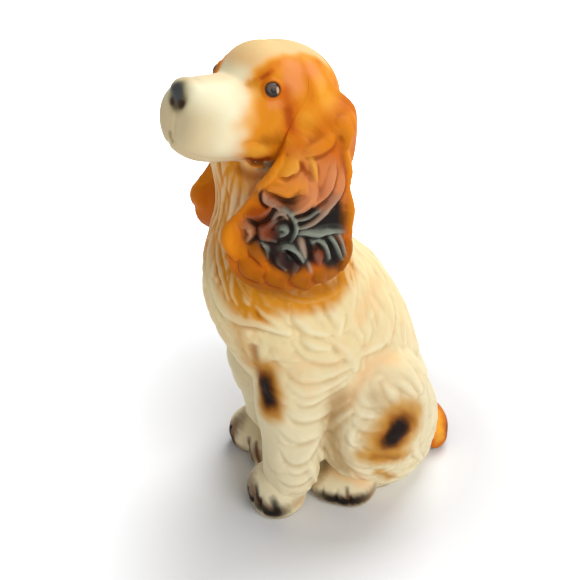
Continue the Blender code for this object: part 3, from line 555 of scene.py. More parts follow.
class Skin:
    """A piece's points as arrays, its carved relief and its paint.

    place is the frame in which the piece is the same on its left and its right.
    """

    def __init__(self, obj, place=Matrix.Identity(4)):
        self.obj = obj
        mesh = obj.data
        self.points = read_array(mesh.vertices, "co", 3)
        self.normals = read_array(mesh.vertex_normals, "vector", 3)
        self.ends = read_array(mesh.edges, "vertices", 2, np.int32)
        count = len(self.points)
        self.links = np.bincount(self.ends.ravel(), minlength=count)
        self.place = place
        back = np.array(place.inverted())
        self.local = self.points @ back[:3, :3].T + back[:3, 3]
        self.dome = np.zeros(count)
        self.groove = np.zeros(count)
        self.relief = np.zeros(count)
        self.crease = np.zeros(count)
        self.cover = np.zeros(count)
        self.paint = np.tile(linear(CREAM), (count, 1))
        faces = [p.vertices for p in mesh.polygons]
        self.tree = BVHTree.FromPolygons([Vector(p) for p in self.points], faces, epsilon=0.0)

    def seat(self, point):
        """The nearest place on the skin, and its normal."""
        place, normal, _, _ = self.tree.find_nearest(Vector(point))
        return np.array(place), np.array(normal)

    def seat_line(self, points):
        """The nearest places on the skin to some points, and the normals there."""
        places, normals = zip(*(self.seat(p) for p in points))
        return np.array(places), np.array(normals)

    def seen(self, x, y):
        """Where a pixel of the photograph falls on the skin: place and normal, or None."""
        start, aim = camera_ray(x, y)
        place, normal, _, _ = self.tree.ray_cast(start, aim)
        if place is None:
            return None
        return np.array(place), np.array(normal)

    def flipped(self, point):
        """The mirror place of a point, across the piece's own middle."""
        local = self.place.inverted() @ Vector(point)
        local.x = -local.x
        return np.array(self.place @ local)

    def seen_line(self, route, count, flip=False):
        """A route in the photograph's pixels as a smooth line on the skin, with its normals."""
        line, normals = [], []
        for x, y in spread(route, count):
            found = self.seen(x, y)
            if found is None:
                continue
            if flip:
                found = self.seat(self.flipped(found[0]))
                if found[1] @ (np.array(CAMERA_PLACE) - found[0]) > 0:
                    continue
            line.append(found[0])
            normals.append(found[1])
        return np.array(line), np.array(normals)

    def beside(self, line, reach):
        """Indices of the points in the box round a line, grown by reach."""
        low, high = line.min(axis=0) - reach, line.max(axis=0) + reach
        return np.nonzero(((self.points > low) & (self.points < high)).all(axis=1))[0]

    def blurred(self, values, rounds):
        """The values, averaged again and again with those of the points beside them."""
        first, second = self.ends.T
        for _ in range(rounds):
            total = np.bincount(first, values[second], len(values))
            total += np.bincount(second, values[first], len(values))
            values = (values + total / self.links) / 2
        return values

    def add_lock(self, line, normals, width, depth, ribs, groove=0.4, phase=0.0):
        """Lays one lock of hair along a line: it rises from its root and from its upper side
        to a rounded lower edge, with a groove under that edge."""
        near = self.beside(line, 1.7 * width)
        if not len(near):
            return
        distance, along, leg, side, below = line_gaps(self.points[near], line, normals)
        strength = step(0.0, 0.4, (self.normals[near] * normals[leg]).sum(axis=1))
        taper = (0.35 + 0.65 * step(0.0, 0.35, along)) * (1 - 0.55 * step(0.5, 1.0, along))
        q = distance / (width / 2 * taper)
        dome = np.clip(1 - q**2, 0, None)
        lower, upper = np.clip(below, 0, 1), np.clip(-below, 0, 1)
        shape = dome + lower * (step(1.0, 0.5, q) - dome) + upper * (step(1.0, -0.4, q) - dome)
        rise = 0.3 + 0.7 * step(0.0, 0.6, along)
        rib = 0.5 - 0.5 * np.cos(math.pi * (ribs * (side * q + 1) + phase))
        value = depth * rise * shape * (1 - 0.18 * rib) * strength
        self.dome[near] = np.maximum(self.dome[near], value)
        self.cover[near] = np.maximum(self.cover[near], step(1.5, 0.9, q) * strength)
        edge = step(0.8, 1.05, q) * step(1.7, 1.1, q) * np.clip(0.3 + 0.7 * below, 0, 1)
        edge *= step(0.0, 0.3, along) * step(1.0, 0.7, along)
        self.groove[near] = np.minimum(self.groove[near], -groove * depth * edge * strength)

    def settle_locks(self, soften=2):
        """Joins the domes and grooves so far, softened, into the relief, and clears them."""
        self.relief += self.blurred(self.dome + self.groove, soften)
        self.dome[:] = 0.0
        self.groove[:] = 0.0

    def clear_cover(self, keep):
        """Weakens the relief so far where later locks lie."""
        self.relief *= 1 - (1 - keep) * self.cover

    def find_creases(self):
        """How far each point stands above the relief round it, in millimetres."""
        self.crease = (self.relief - self.blurred(self.relief, 40)) / MM

    def find_hollows(self, rounds):
        """How far each point of the plain form lies in a hollow, in millimetres."""
        smooth = np.stack([self.blurred(axis, rounds) for axis in self.points.T], axis=1)
        return ((smooth - self.points) * self.normals).sum(axis=1) / MM

    def draw(self, line, normals, width, height, taper=0.5):
        """Raises a soft ridge along a line, or cuts a groove where height is negative."""
        near = self.beside(line, 3 * width)
        distance, along = line_gaps(self.points[near], line, normals)[:2]
        ends = 1 - taper * np.abs(2 * along - 1) ** 3
        self.relief[near] += height * ends * np.exp(-((distance / width) ** 2))

    def band(self, line, normals, width, soft, noise=0.0, fade=0.0):
        """How much of a soft stroke along a line reaches each point, from 0 to 1.

        The width is half the stroke's; the fade weakens it towards both ends.
        """
        amount = np.zeros(len(self.points))
        if len(line) < 2:
            return amount
        near = self.beside(line, 2 * width)
        distance, along = line_gaps(self.points[near], line, normals)[:2]
        distance = distance / width + noise * ripple(self.points[near], width, 5)
        ends = 1 - fade * np.abs(2 * along - 1) ** 3
        amount[near] = ends * step(1 + soft, 1 - soft, distance)
        return amount

    def stroke(self, colour, route, width, strength=1.0, soft=0.6):
        """A stroke of glaze where the photograph shows one, and its mirror on the far side."""
        for flip in (False, True):
            line, normals = self.seen_line(route, 4 * len(route), flip)
            self.glaze(colour, strength * self.band(line, normals, width * MM, soft, 0.15))

    def spray_and_shade_side(self, colour, way, low, high, strength=1.0):
        """Glaze sprayed on the sides that face the given way; it also stands for painted shade on those
        sides.
        """
        facing = self.normals @ np.array(way) + 0.12 * ripple(self.points, 8 * MM, 9)
        self.glaze(colour, strength * step(low, high, facing))

    def glaze(self, colour, amount):
        """Lays a colour over the paint, amount from 0 to 1 at each point."""
        self.paint += (linear(colour) - self.paint) * np.clip(amount, 0, 1)[:, None]

    def finish_shape(self):
        """Moves the points out by the relief, and flattens what would go under the floor."""
        moved = self.points + self.normals * self.relief[:, None]
        moved[:, 2] = np.maximum(moved[:, 2], 0.0)
        mesh = self.obj.data
        mesh.vertices.foreach_set("co", moved.ravel())
        colour = np.ones((len(self.points), 4))
        colour[:, :3] = np.clip(self.paint, 0, 1)
        layer = mesh.attributes.new("paint", "FLOAT_COLOR", "POINT")
        layer.data.foreach_set("color", colour.ravel())
        mesh.polygons.foreach_set("use_smooth", [True] * len(mesh.polygons))
        mesh.update()


def camera_ray(x, y):
    """Start and direction of the camera's ray through a pixel of the photograph."""
    turn = Euler([math.radians(a) for a in CAMERA_TURN]).to_matrix()
    focal = CAMERA_LENS / SENSOR_WIDTH * PHOTO_SIZE
    aim = turn @ Vector(((x - PHOTO_SIZE / 2) / focal, (PHOTO_SIZE / 2 - y) / focal, -1))
    return Vector(CAMERA_PLACE), aim.normalized()


def ripple(points, size, seed):
    """Soft noise from -1 to 1 with features of about the given size."""
    dice = np.random.default_rng(seed)
    total = np.zeros(len(points))
    for _ in range(6):
        wave = dice.normal(size=3)
        wave *= 2 * math.pi / (size * np.linalg.norm(wave)) * dice.uniform(0.6, 1.5)
        total += np.sin(points @ wave + dice.uniform(0, 6.28))
    return total / 3.3


def depth_inside(points, outline):
    """How far each flat point is inside a closed outline; outside it is negative."""
    outline = np.array(outline, float)
    ahead = np.roll(outline, -1, axis=0)
    nearest = np.full(len(points), np.inf)
    inside = np.zeros(len(points), bool)
    for a, b in zip(outline, ahead):
        leg = b - a
        share = np.clip(((points - a) @ leg) / (leg @ leg + 1e-12), 0, 1)
        gap = points - a - share[:, None] * leg
        nearest = np.minimum(nearest, (gap**2).sum(axis=1))
        crosses = (a[1] > points[:, 1]) != (b[1] > points[:, 1])
        rise = np.where(abs(b[1] - a[1]) < 1e-9, 1e-9, b[1] - a[1])
        inside ^= crosses & (points[:, 0] < (points[:, 1] - a[1]) * leg[0] / rise + a[0])
    return np.where(inside, 1, -1) * np.sqrt(nearest)


def comb_field(skin):
    """Places and directions that say how the coat lies, on both sides of the dog."""
    places, ways = [], []
    for x0, y0, x1, y1 in COMB_STROKES:
        start, end = skin.seen(x0, y0), skin.seen(x1, y1)
        if start is None or end is None:
            continue
        way = end[0] - start[0]
        if np.linalg.norm(way) > 40 * MM:
            continue
        middle, way = (start[0] + end[0]) / 2, way / np.linalg.norm(way)
        for mirror in (1, -1):
            flip = np.array((mirror, 1, 1))
            places.append(middle * flip)
            ways.append(way * flip)
    # the back and the chest fall straight down
    for z in range(20, 160, 14):
        middle = np.interp(z, [r[0] for r in TORSO_ROWS], [r[1] for r in TORSO_ROWS])
        depth = np.interp(z, [r[0] for r in TORSO_ROWS], [r[3] for r in TORSO_ROWS])
        places.append(np.array((0.0, middle + depth, z)) * MM)
        ways.append(np.array((0.0, 0.35, -0.94)))
        places.append(np.array((0.0, middle - depth, z)) * MM)
        ways.append(np.array((0.0, 0.1, -1.0)))
    return np.array(places), np.array(ways)


def lie_of_coat(field, point, normal):
    places, ways = field
    weight = 1 / (((places - point) ** 2).sum(axis=1) + (6 * MM) ** 2) ** 2
    way = (ways * weight[:, None]).sum(axis=0)
    way -= normal * way.dot(normal)
    return way / (np.linalg.norm(way) + 1e-9)


def scatter(skin, spacing, wanted):
    """Indices of points spread over the skin, no closer than spacing."""
    order = rng.permutation(len(skin.points))[:: max(1, len(skin.points) // 14000)]
    order = order[wanted[order]]
    places = np.empty((len(order), 3))
    chosen = []
    for i in order:
        point = skin.points[i]
        if chosen and ((places[: len(chosen)] - point) ** 2).sum(axis=1).min() < spacing**2:
            continue
        places[len(chosen)] = point
        chosen.append(i)
    return chosen


def comb(skin, field, roots, length, width, depth, sway, ribs=0.0):
    """Lays locks on the skin from their roots, each wavering down the lie of the coat."""
    steps = 8
    for i in roots:
        point, normal = skin.points[i], skin.normals[i]
        size = rng.uniform(0.75, 1.25)
        phase, swing = rng.uniform(0, 6.28), sway * rng.uniform(0.5, 1.5)
        line, normals = [point], [normal]
        for k in range(steps):
            way = lie_of_coat(field, point, normal)
            turn = swing * math.sin(4.5 * k / steps + phase)
            way = way * math.cos(turn) + np.cross(normal, way) * math.sin(turn)
            point, normal = skin.seat(point + way * length * size / steps)
            line.append(point)
            normals.append(normal)
        line, normals = np.array(line), np.array(normals)
        skin.add_lock(line, normals, width * size, depth[i] * size, ribs, phase=phase)


def torso_form():
    rings = []
    for z, y, half_x, half_y in spread(TORSO_ROWS, 60) * MM:
        rings.append(ring((0, y, z), (half_x, 0, 0), (0, half_y, 0)))
    rings.insert(0, [Vector((p.x, p.y, -6 * MM)) for p in rings[0]])
    return loft("torso", rings)


def leg_back(side, z):
    """How far back a foreleg stands at a height, in millimetres: the right one leans."""
    if side > 0:
        return 0.0
    lean = float(step(LEG_LEAN_LOW, LEG_LEAN_HIGH, z))
    return RIGHT_PAW_BACK + (RIGHT_SHOULDER_BACK - RIGHT_PAW_BACK) * lean


def foreleg_form(side):
    rings = []
    for z, x, y, half_x, half_y in spread(FORELEG_ROWS, 30):
        centre = mm((side * x, y + leg_back(side, z), z))
        rings.append(ring(centre, (half_x * MM, 0, 0), (0, half_y * MM, 0), 48))
    return loft("foreleg", rings)


def make_coat():
    pieces = [torso_form(), foreleg_form(1), foreleg_form(-1)]
    x, y, z = mm(HAUNCH_CENTRE)
    for side in (1, -1):
        pieces.append(ellipsoid("haunch", (side * x, y, z), mm(HAUNCH_RADII)))
    return Skin(fuse("coat", pieces, 1.1 * MM, 14))


def carve_coat(skin, field):
    """Broad locks everywhere, the big locks seen in the photograph over them, then fine hair."""
    height = skin.points[:, 2]
    # the front of each foreleg is nearly smooth
    leg_front = step(-46 * MM, -52 * MM, skin.points[:, 1]) * step(80 * MM, 66 * MM, height)
    rough = 1 - 0.8 * leg_front
    wanted = (height > 3 * MM) & (skin.normals[:, 2] > -0.9)
    low, high = wanted & (height < 112 * MM), height > 100 * MM
    comb(skin, field, scatter(skin, 8 * MM, low), 18 * MM, 10 * MM, 0.7 * MM * rough, sway=0.7)
    down = (np.zeros((1, 3)), np.array([(0.0, 0.0, -1.0)]))
    comb(skin, down, scatter(skin, 6 * MM, high), 30 * MM, 5 * MM, 0.75 * MM * rough, sway=0.35)
    skin.settle_locks(5)
    skin.cover[:] = 0
    for width, depth, route in BODY_LOCKS:
        for flip in (False, True):
            line, normals = skin.seen_line(route, 5 * len(route), flip)
            if len(line) > 3:
                size = (LOCK_WIDEN * width * MM, LOCK_FLATTEN * depth * MM)
                skin.add_lock(line, normals, *size, ribs=0.5 + 0.08 * width, groove=0.35)
    skin.clear_cover(0.3)
    skin.settle_locks(6)
    comb(skin, field, scatter(skin, 4 * MM, wanted), 11 * MM, 2.6 * MM, 0.07 * MM * rough, 0.5, 1.0)
    skin.settle_locks(1)
    skin.find_creases()


def paint_coat(skin):
    """Cream with darker creases (wash and painted shade), painted highlights on the crests, painted shade
    in the hollows, an ochre bib under the ears, peach tints and two burnt spots.
    """
    crease = skin.crease
    height = skin.points[:, 2] / MM
    mottle = ripple(skin.points, 12 * MM, 11)
    skin.glaze(CREAM_LOW, 0.85 * step(95, 50, height))
    skin.glaze(PEACH, (0.08 + 0.25 * step(0.0, 1.0, mottle)) * step(40, 80, height))
    # painted highlight on the crests, wash and painted shade in the creases, painted shade in the hollows
    # of the form
    skin.glaze(CREAM_PAINTED_HIGHLIGHT, 0.6 * step(0.0, 0.35, crease))
    skin.glaze(CREAM_WASH_AND_SHADE, 0.55 * step(0.0, -0.5, crease))
    skin.glaze(SHADE, 0.7 * step(0.1, 0.7, skin.find_hollows(60)))
    for route, width, strength in (
        (((376, 282), (368, 296), (360, 318)), 3.2, 0.45),
        (((394, 358), (378, 360), (366, 370), (352, 392), (346, 402)), 3.0, 0.5),
        (((300, 366), (330, 362)), 2.0, 0.25),
        (((352, 470), (362, 478)), 3.0, 0.4),
    ):
        skin.stroke(PEACH, route, width, strength, 0.9)
    # chest between and under the ears: ochre in the creases, and a bib under each ear
    for route, width, strength in (
        (((226, 168), (222, 200), (220, 228), (226, 262), (238, 288), (252, 306)), 9.0, 1.0),
        (((243, 252), (262, 282), (290, 292), (322, 290), (344, 268)), 8.0, 1.0),
    ):
        for flip in (False, True):
            line, normals = skin.seen_line(route, 20, flip)
            amount = strength * skin.band(line, normals, width * MM, 0.5)
            skin.glaze(OCHRE, amount * (0.45 + 0.55 * step(0.14, -0.08, crease)))
            skin.glaze(DEEP_OCHRE, 0.7 * amount * step(-0.08, -0.35, crease))
    for colour, route, width, strength, soft in (
        (OCHRE, ((248, 284), (270, 298), (300, 302), (332, 294)), 5.0, 0.8, 0.8),
        (DEEP_OCHRE, ((262, 284), (290, 293), (318, 290), (338, 280)), 2.8, 0.6, 0.8),
        # the throat
        (OCHRE, ((236, 168), (246, 178), (252, 190)), 5.0, 0.7, 0.9),
        (DEEP_OCHRE, ((240, 170), (252, 175), (264, 175)), 2.2, 0.8, 0.9),
        # painted shade in the folds beside the foreleg and before the haunch
        (OCHRE, ((236, 326), (243, 342), (248, 362)), 3.0, 0.45, 0.9),
        (SHADE, ((339, 398), (333, 420), (334, 446), (341, 466)), 4.5, 0.75, 0.9),
        (SHADE, ((376, 396), (384, 410)), 3.0, 0.5, 0.9),
        # the dark corner of the mouth, a brown mark and painted shade under the lip, runs out on the neck
        (BROWN, ((262, 165), (270, 164), (276, 160)), 1.8, 0.85, 0.8),
        # the spot on the foreleg
        (DEEP_OCHRE, ((254, 346), (257, 360), (263, 374)), 1.6, 0.7, 0.9),
        (GOLD, ((264, 368), (270, 392), (271, 412)), 5.6, 0.9, 0.6),
        (DEEP_OCHRE, ((264, 376), (269, 394), (270, 406)), 4.2, 0.85, 0.7),
        (BROWN, ((265, 380), (268, 394), (269, 402)), 3.4, 0.8, 0.7),
        (BROWN_BLACK, ((265, 384), (268, 394), (269, 400)), 2.8, 1.0, 0.7),
        # the spot on the haunch
        (GOLD, ((402, 418), (393, 442)), 10.0, 0.85, 0.4),
        (GOLD, ((382, 436), (410, 428)), 8.0, 0.7, 0.6),
        (DEEP_OCHRE, ((400, 424), (394, 440)), 6.6, 0.85, 0.6),
        (DEEP_OCHRE, ((386, 438), (406, 430)), 4.6, 0.7, 0.7),
        (BROWN, ((400, 425), (393, 440)), 4.8, 0.85, 0.6),
        (BROWN_BLACK, ((399, 427), (393, 439)), 3.8, 1.0, 0.6),
        (BROWN_BLACK, ((390, 438), (402, 431)), 3.0, 0.9, 0.7),
        (GOLD, ((362, 455), (380, 459), (404, 455)), 3.6, 0.85, 0.9),
        (DEEP_OCHRE, ((374, 456), (396, 457)), 1.8, 0.6, 0.9),
        (GOLD, ((378, 471), (390, 476)), 2.4, 0.85, 0.9),
    ):
        skin.stroke(colour, route, width, strength, soft)


def head_place():
    pitch = math.radians(HEAD_PITCH)
    forward = Vector((0, -math.cos(pitch), math.sin(pitch)))
    up = Vector((0, math.sin(pitch), math.cos(pitch)))
    tilt = Matrix((Vector((1, 0, 0)), forward, up)).transposed()
    turn = Matrix.Rotation(math.radians(HEAD_TURN), 3, "Z") @ tilt
    return Matrix.Translation(Vector(mm(HEAD_CENTRE))) @ turn.to_4x4()


def make_head():
    pieces = [
        ellipsoid("skull", mm(SKULL_CENTRE), mm(SKULL_RADII)),
        ellipsoid("forehead", mm(FOREHEAD_CENTRE), mm(FOREHEAD_RADII)),
        ellipsoid("nose", mm(NOSE_CENTRE), mm(NOSE_RADII)),
    ]
    for side in (1, -1):
        for centre, radii in (
            (BROW_CENTRE, BROW_RADII),
            (CHEEK_CENTRE, CHEEK_RADII),
            (JOWL_CENTRE, JOWL_RADII),
        ):
            x, forward, up = mm(centre)
            pieces.append(ellipsoid("swell", (side * x, forward, up), mm(radii)))
    rings = []
    for forward, up, half_x, half_up in spread(MUZZLE_ROWS, 24) * MM:
        rings.append(ring((0, forward, up), (half_x, 0, 0), (0, 0, half_up), 48))
    pieces.append(loft("muzzle", rings))
    for piece in pieces:
        piece.data.transform(head_place())
        piece.data.flip_normals()
    return Skin(fuse("face", pieces, 0.8 * MM, 18), head_place())


def eye_seat(skin, side):
    """Where an eye sits on the skin, with the skin's normal there."""
    x, forward, up = mm(EYE_CENTRE)
    return skin.seat(head_place() @ Vector((side * x, forward, up)))


def carve_face(skin):
    """Lids round the eyes, the nostrils, the mouth and its corners."""
    for side in (1, -1):
        centre, normal = eye_seat(skin, side)
        offset = skin.points - centre
        flat = offset - (offset @ normal)[:, None] * normal
        reach = np.linalg.norm(flat, axis=1) / MM
        near = np.linalg.norm(offset, axis=1) < 12 * MM
        rim = np.exp(-(((reach - EYE_OPENING - 0.7) / 0.9) ** 2))
        socket = step(EYE_OPENING, EYE_OPENING - 1.2, reach)
        skin.relief[near] += ((0.75 * rim - 1.6 * socket) * MM)[near]
    upper_lid = ((261, 86), (265, 80), (272, 77), (280, 79), (286, 86))
    lip_fold = ((246, 144), (252, 143), (260, 144), (267, 149))
    lip_corner = ((246, 150), (254, 153), (263, 152))
    mouth_end = ((246, 161), (256, 163), (267, 162))
    for flip in (False, True):
        for route, width, height in (
            (upper_lid, 1.0, -0.35),
            (lip_fold, 1.1, -0.5),
            (lip_corner, 2.6, 0.7),
            (mouth_end, 1.4, -1.4),
        ):
            line, normals = skin.seen_line(route, 16, flip)
            skin.draw(line, normals, width * MM, height * MM)
    # the line down from the nose, the nostrils, and the mouth under the lips
    routes = [([(0, 42, -0.5), (0, 42, -6), (0, 41, -12)], 0.8, -0.2)]
    for side in (1, -1):
        nostril = [(side * 2.0, 42, 0.6), (side * 3.0, 41, 1.2), (side * 3.6, 40, 2.2)]
        lip = [(0, 41, -12), (side * 5, 38.5, -15), (side * 9, 31, -18.3), (side * 11, 20, -19.5)]
        routes += [(nostril, 1.0, -0.6), (lip, 0.9, -0.4)]
    for route, width, height in routes:
        line, normals = skin.seat_line(skin.place @ Vector(mm(p)) for p in spread(route, 14))
        skin.draw(line, normals, width * MM, height * MM)


def face_map(skin, points):
    """Points as angles round the skull from its centre, each as millimetres at its skin."""
    local = points / MM - np.array(SKULL_CENTRE)
    across = np.abs(local[:, 0])
    round_angle = np.arctan2(across, local[:, 1])
    rise = np.arctan2(local[:, 2], np.hypot(across, local[:, 1]))
    return np.stack((round_angle, rise), axis=1) * 22


def paint_face(skin):
    """Cream muzzle and blaze, orange sides, dark nose, and the marks round the eyes; the muzzle's front
    and underside and the mouth's end carry painted shade, the skull painted highlights in pink.
    """
    local = skin.local / MM
    forward, up = local[:, 1], local[:, 2]
    skin.paint[:] = linear(FOREHEAD)
    skin.glaze(BLAZE, 0.8 * step(15, 20, up))
    skin.glaze(MUZZLE_CREAM, step(12, 19, forward) * step(15, 10, up))
    # the muzzle's front and underside: tan tint and painted shade
    skin.glaze(MUZZLE_TAN_AND_SHADE, 0.75 * step(26, 38, forward) * step(6, -4, up))
    skin.glaze(MUZZLE_TAN_AND_SHADE, 0.7 * step(-12, -19, up) * step(8, 16, forward))
    skin.glaze(PEACH, 0.45 * step(6.5, 9, up) * step(16, 24, forward))
    # the orange side of the head
    outline = []
    inverse = skin.place.inverted()
    for x, y in FACE_MASK:
        found = skin.seen(x, y)
        if found is not None:
            outline.append(np.array(inverse @ Vector(found[0])))
    outline = face_map(skin, np.array(outline)).tolist()
    outline += [(60, 26), (69, 26), (69, -34), (outline[0][0], -34)]
    flat = face_map(skin, skin.local)
    inside = depth_inside(flat, outline) + 0.5 * ripple(skin.points, 7 * MM, 21)
    skin.glaze(PEACH, 0.75 * step(-3.6, 0.4, inside))
    skin.glaze(YELLOW, 0.7 * step(-1.6, 0.8, inside))
    skin.glaze(ORANGE, step(-0.6, 2.6, inside))
    mottle = ripple(skin.points, 8 * MM, 33)
    skin.glaze(YELLOW, 0.35 * step(0.1, 0.9, mottle) * step(0, 3, inside))
    skin.glaze(DEEP_ORANGE, 0.4 * step(0.1, 0.9, -mottle) * step(0, 4, inside))
    for colour, route, width, strength, soft in (
        # painted highlights in pink on the skull and under the eye
        (PAINTED_PINK_HIGHLIGHT, ((293, 68), (294, 84)), 3.4, 0.75, 0.8),
        (PAINTED_PINK_HIGHLIGHT, ((312, 68), (320, 80)), 2.6, 0.7, 0.8),
        (PAINTED_PINK_HIGHLIGHT, ((272, 104), (280, 104)), 1.6, 0.55, 0.9),
        (YELLOW, ((322, 84), (326, 96)), 2.6, 0.6, 0.9),
        (DEEP_ORANGE, ((284, 92), (289, 108), (290, 130)), 2.2, 0.85, 0.9),
        (RUST, ((288, 110), (290, 125)), 1.4, 0.6, 0.9),
        (DEEP_ORANGE, ((256, 81), (262, 78), (272, 71)), 0.9, 0.8, 0.9),
        (RUST, ((262, 78), (268, 74)), 0.6, 0.6, 0.9),
        (OCHRE, ((250, 84), (257, 83)), 1.3, 0.75, 0.9),
        (DEEP_OCHRE, ((266, 142), (278, 140)), 2.2, 0.6, 0.9),
        (YELLOW, ((252, 152), (262, 151)), 2.4, 0.8, 0.8),
        # the mouth's end: a brown mark and painted shade under the lip
        (RUST, ((248, 160), (258, 162), (268, 160)), 1.6, 0.9, 0.7),
        (BROWN, ((252, 164), (264, 165)), 1.1, 0.8, 0.8),
        (OLIVE, ((170, 133), (171, 141)), 0.8, 0.7, 0.7),
    ):
        skin.stroke(colour, route, width, strength, soft)
    paint_nose(skin)
    for side in (1, -1):
        centre, normal = eye_seat(skin, side)
        reach = np.linalg.norm(skin.points - centre, axis=1) / MM
        skin.glaze(DEEP_ORANGE, 0.5 * step(4.2, 3.0, reach))
        skin.glaze(EYE_RIM, 0.95 * step(2.9, 2.3, reach))


def paint_nose(skin):
    """A soft-edged dark nose leather."""
    local = skin.local / MM
    across, up = np.abs(local[:, 0]), local[:, 2]
    reach = np.hypot(across / 4.6, (up - 2.6) / 5.2)
    reach = reach + 0.06 * ripple(skin.points, 5 * MM, 41)
    ahead = step(31, 35, local[:, 1])
    skin.glaze(OLIVE, 0.5 * ahead * step(1.5, 0.8, reach))
    skin.glaze(NOSE_BROWN, 0.9 * ahead * step(1.15, 0.6, reach))
    grey = np.hypot(across / 3.4, (up - 3.8) / 3.6)
    skin.glaze(NOSE_GREY, 0.9 * ahead * step(1.1, 0.6, grey))
    nostril = np.hypot((across - 2.2) / 1.6, (up - 0.6) / 1.8)
    skin.glaze(EYE_RIM, 0.85 * ahead * step(1.2, 0.5, nostril))


def ear_hang(side):
    """How far back, in degrees, and how low, in millimetres, an ear hangs."""
    return (RIGHT_EAR_BACK, RIGHT_EAR_DROP) if side < 0 else (0.0, 0.0)


def make_ear(name, side):
    swing, drop = ear_hang(side)
    rings = []
    for z, front, back, radius, thick in spread(EAR_ROWS, 50):
        angles = np.radians(np.linspace(front + swing, back + swing, 30))
        outer = [(radius + thick / 2, a) for a in angles]
        inner = [(radius - thick / 2, a) for a in angles[::-1]]
        rings.append([])
        for reach, turn in outer + inner:
            place = (side * reach * math.sin(turn), EAR_AXIS_Y - reach * math.cos(turn), z - drop)
            rings[-1].append(Vector(mm(place)))
    pieces = [loft(name, rings)]
    for along, height, radius, wide, tall, thick in EAR_TIPS:
        turn = along / EAR_RADIUS + math.radians(swing)
        centre = (side * radius * math.sin(turn), EAR_AXIS_Y - radius * math.cos(turn), height - drop)
        aim = Matrix.Rotation(side * turn, 3, "Z")
        pieces.append(ellipsoid("tip", mm(centre), mm((wide, thick, tall)), aim))
    return Skin(fuse(name, pieces, 0.7 * MM, 8))


def ear_map(skin, side, points):
    """Points on an ear as millimetres round it and up, the same on both ears."""
    swing, drop = ear_hang(side)
    turn = np.arctan2(side * points[:, 0], EAR_AXIS_Y * MM - points[:, 1]) - math.radians(swing)
    return np.stack((turn * EAR_RADIUS, points[:, 2] / MM + drop), axis=1)


def ear_seat(skin, side, along, height):
    """The place on an ear's outside at ear_map's along and height, or None off the ear."""
    swing, drop = ear_hang(side)
    turn = along / EAR_RADIUS + math.radians(swing)
    out = np.array((side * math.sin(turn), -math.cos(turn), 0.0))
    outside = np.array((0.0, EAR_AXIS_Y, height - drop)) * MM + out * 60 * MM
    place, normal, _, _ = skin.tree.ray_cast(Vector(outside), Vector(-out))
    if place is None or (place - Vector(outside)).length > 52 * MM:
        return None
    return np.array(place), np.array(normal)


def ease_onto(skin, side, face):
    """Lets the top of an ear run out into the head; returns how far, and the head's glaze."""
    flat = ear_map(skin, side, skin.points)
    behind = np.degrees(flat[:, 0] / EAR_RADIUS) - 100
    weight = step(EAR_EASE[0], EAR_EASE[1], flat[:, 1] - 0.15 * behind)
    outer = ear_outside(skin, side)
    glaze = skin.paint.copy()
    for i in np.nonzero(weight > 0)[0]:
        place, normal, index, _ = face.tree.find_nearest(Vector(skin.points[i]))
        target = np.array(place) + np.array(normal) * (1.15 * outer[i] - 1.0) * MM
        skin.points[i] += (target - skin.points[i]) * weight[i]
        glaze[i] = face.paint[face.obj.data.polygons[index].vertices[0]]
    return weight, glaze


def ear_lines(skin, side, routes):
    """Each lock of the table with its line and normals on this ear."""
    for (width, height, colour, _), route in zip(EAR_LOCKS, routes):
        found = [ear_seat(skin, side, along, level) for along, level in route]
        found = [f for f in found if f is not None]
        if len(found) > 3:
            line, normals = (np.array(x) for x in zip(*found))
            yield width * MM, height * MM, colour, line, normals


def carve_ear(skin, side, routes):
    """The same locks on either ear, mirrored and hung a little further back on the right."""
    for width, height, _, line, normals in ear_lines(skin, side, routes):
        if height > 0:
            skin.add_lock(line, normals, 1.8 * width, 1.4 * height, 1.6, 0.45)
    skin.settle_locks(2)
    for width, height, _, line, normals in ear_lines(skin, side, routes):
        if height < 0:
            skin.draw(line, normals, 0.8 * width, 1.4 * height)
    skin.relief = skin.blurred(skin.relief, 1)
    skin.find_creases()


def paint_ear(skin, side, routes, zones):
    """Orange above and along the front rim, pink under it, then black with grey ridges, whose grey is
    painted sheen; the creases are darkened with paint and painted shade.
    """
    flat = ear_map(skin, side, skin.points)
    crease = skin.crease
    skin.paint[:] = linear(EAR_ORANGE)
    mottle = ripple(skin.points, 12 * MM, 51)
    skin.glaze(ORANGE, 0.55 * step(0.0, 0.9, mottle))
    skin.glaze(DEEP_ORANGE, 0.5 * step(0.2, 0.9, -mottle))
    wobble = 1.0 * ripple(skin.points, 6 * MM, 55)
    pink = depth_inside(flat, zones["pink"]) + wobble
    dark = depth_inside(flat, zones["dark"]) + wobble
    outer = ear_outside(skin, side)
    skin.glaze(FRINGE, 0.8 * step(132, 124, flat[:, 1] + wobble))
    skin.glaze(EAR_PINK, 0.5 * step(-4, 4, pink) * outer)
    # creases darkened: paint settled in the grooves and painted shade
    skin.glaze(RUST, 0.85 * step(-0.02, -0.3, crease))
    skin.glaze(BROWN, 0.6 * step(-0.1, -0.5, crease) * step(-3, 3, pink) * outer)
    inside = step(-2.6, 2.2, dark) * outer
    skin.glaze(EAR_DARK, inside)
    # painted sheen on the crests of the black zone
    skin.glaze(EAR_PAINTED_SHEEN, 0.45 * inside * step(0.05, 0.5, crease))
    for width, height, colour, line, normals in ear_lines(skin, side, routes):
        skin.glaze(colour, 0.72 * skin.band(line, normals, 0.7 * width, 0.95, fade=0.8))
    # the black zone's creases darkened again: black paint and painted shade
    skin.glaze(EAR_DARK, 0.8 * inside * step(-0.05, -0.35, crease))


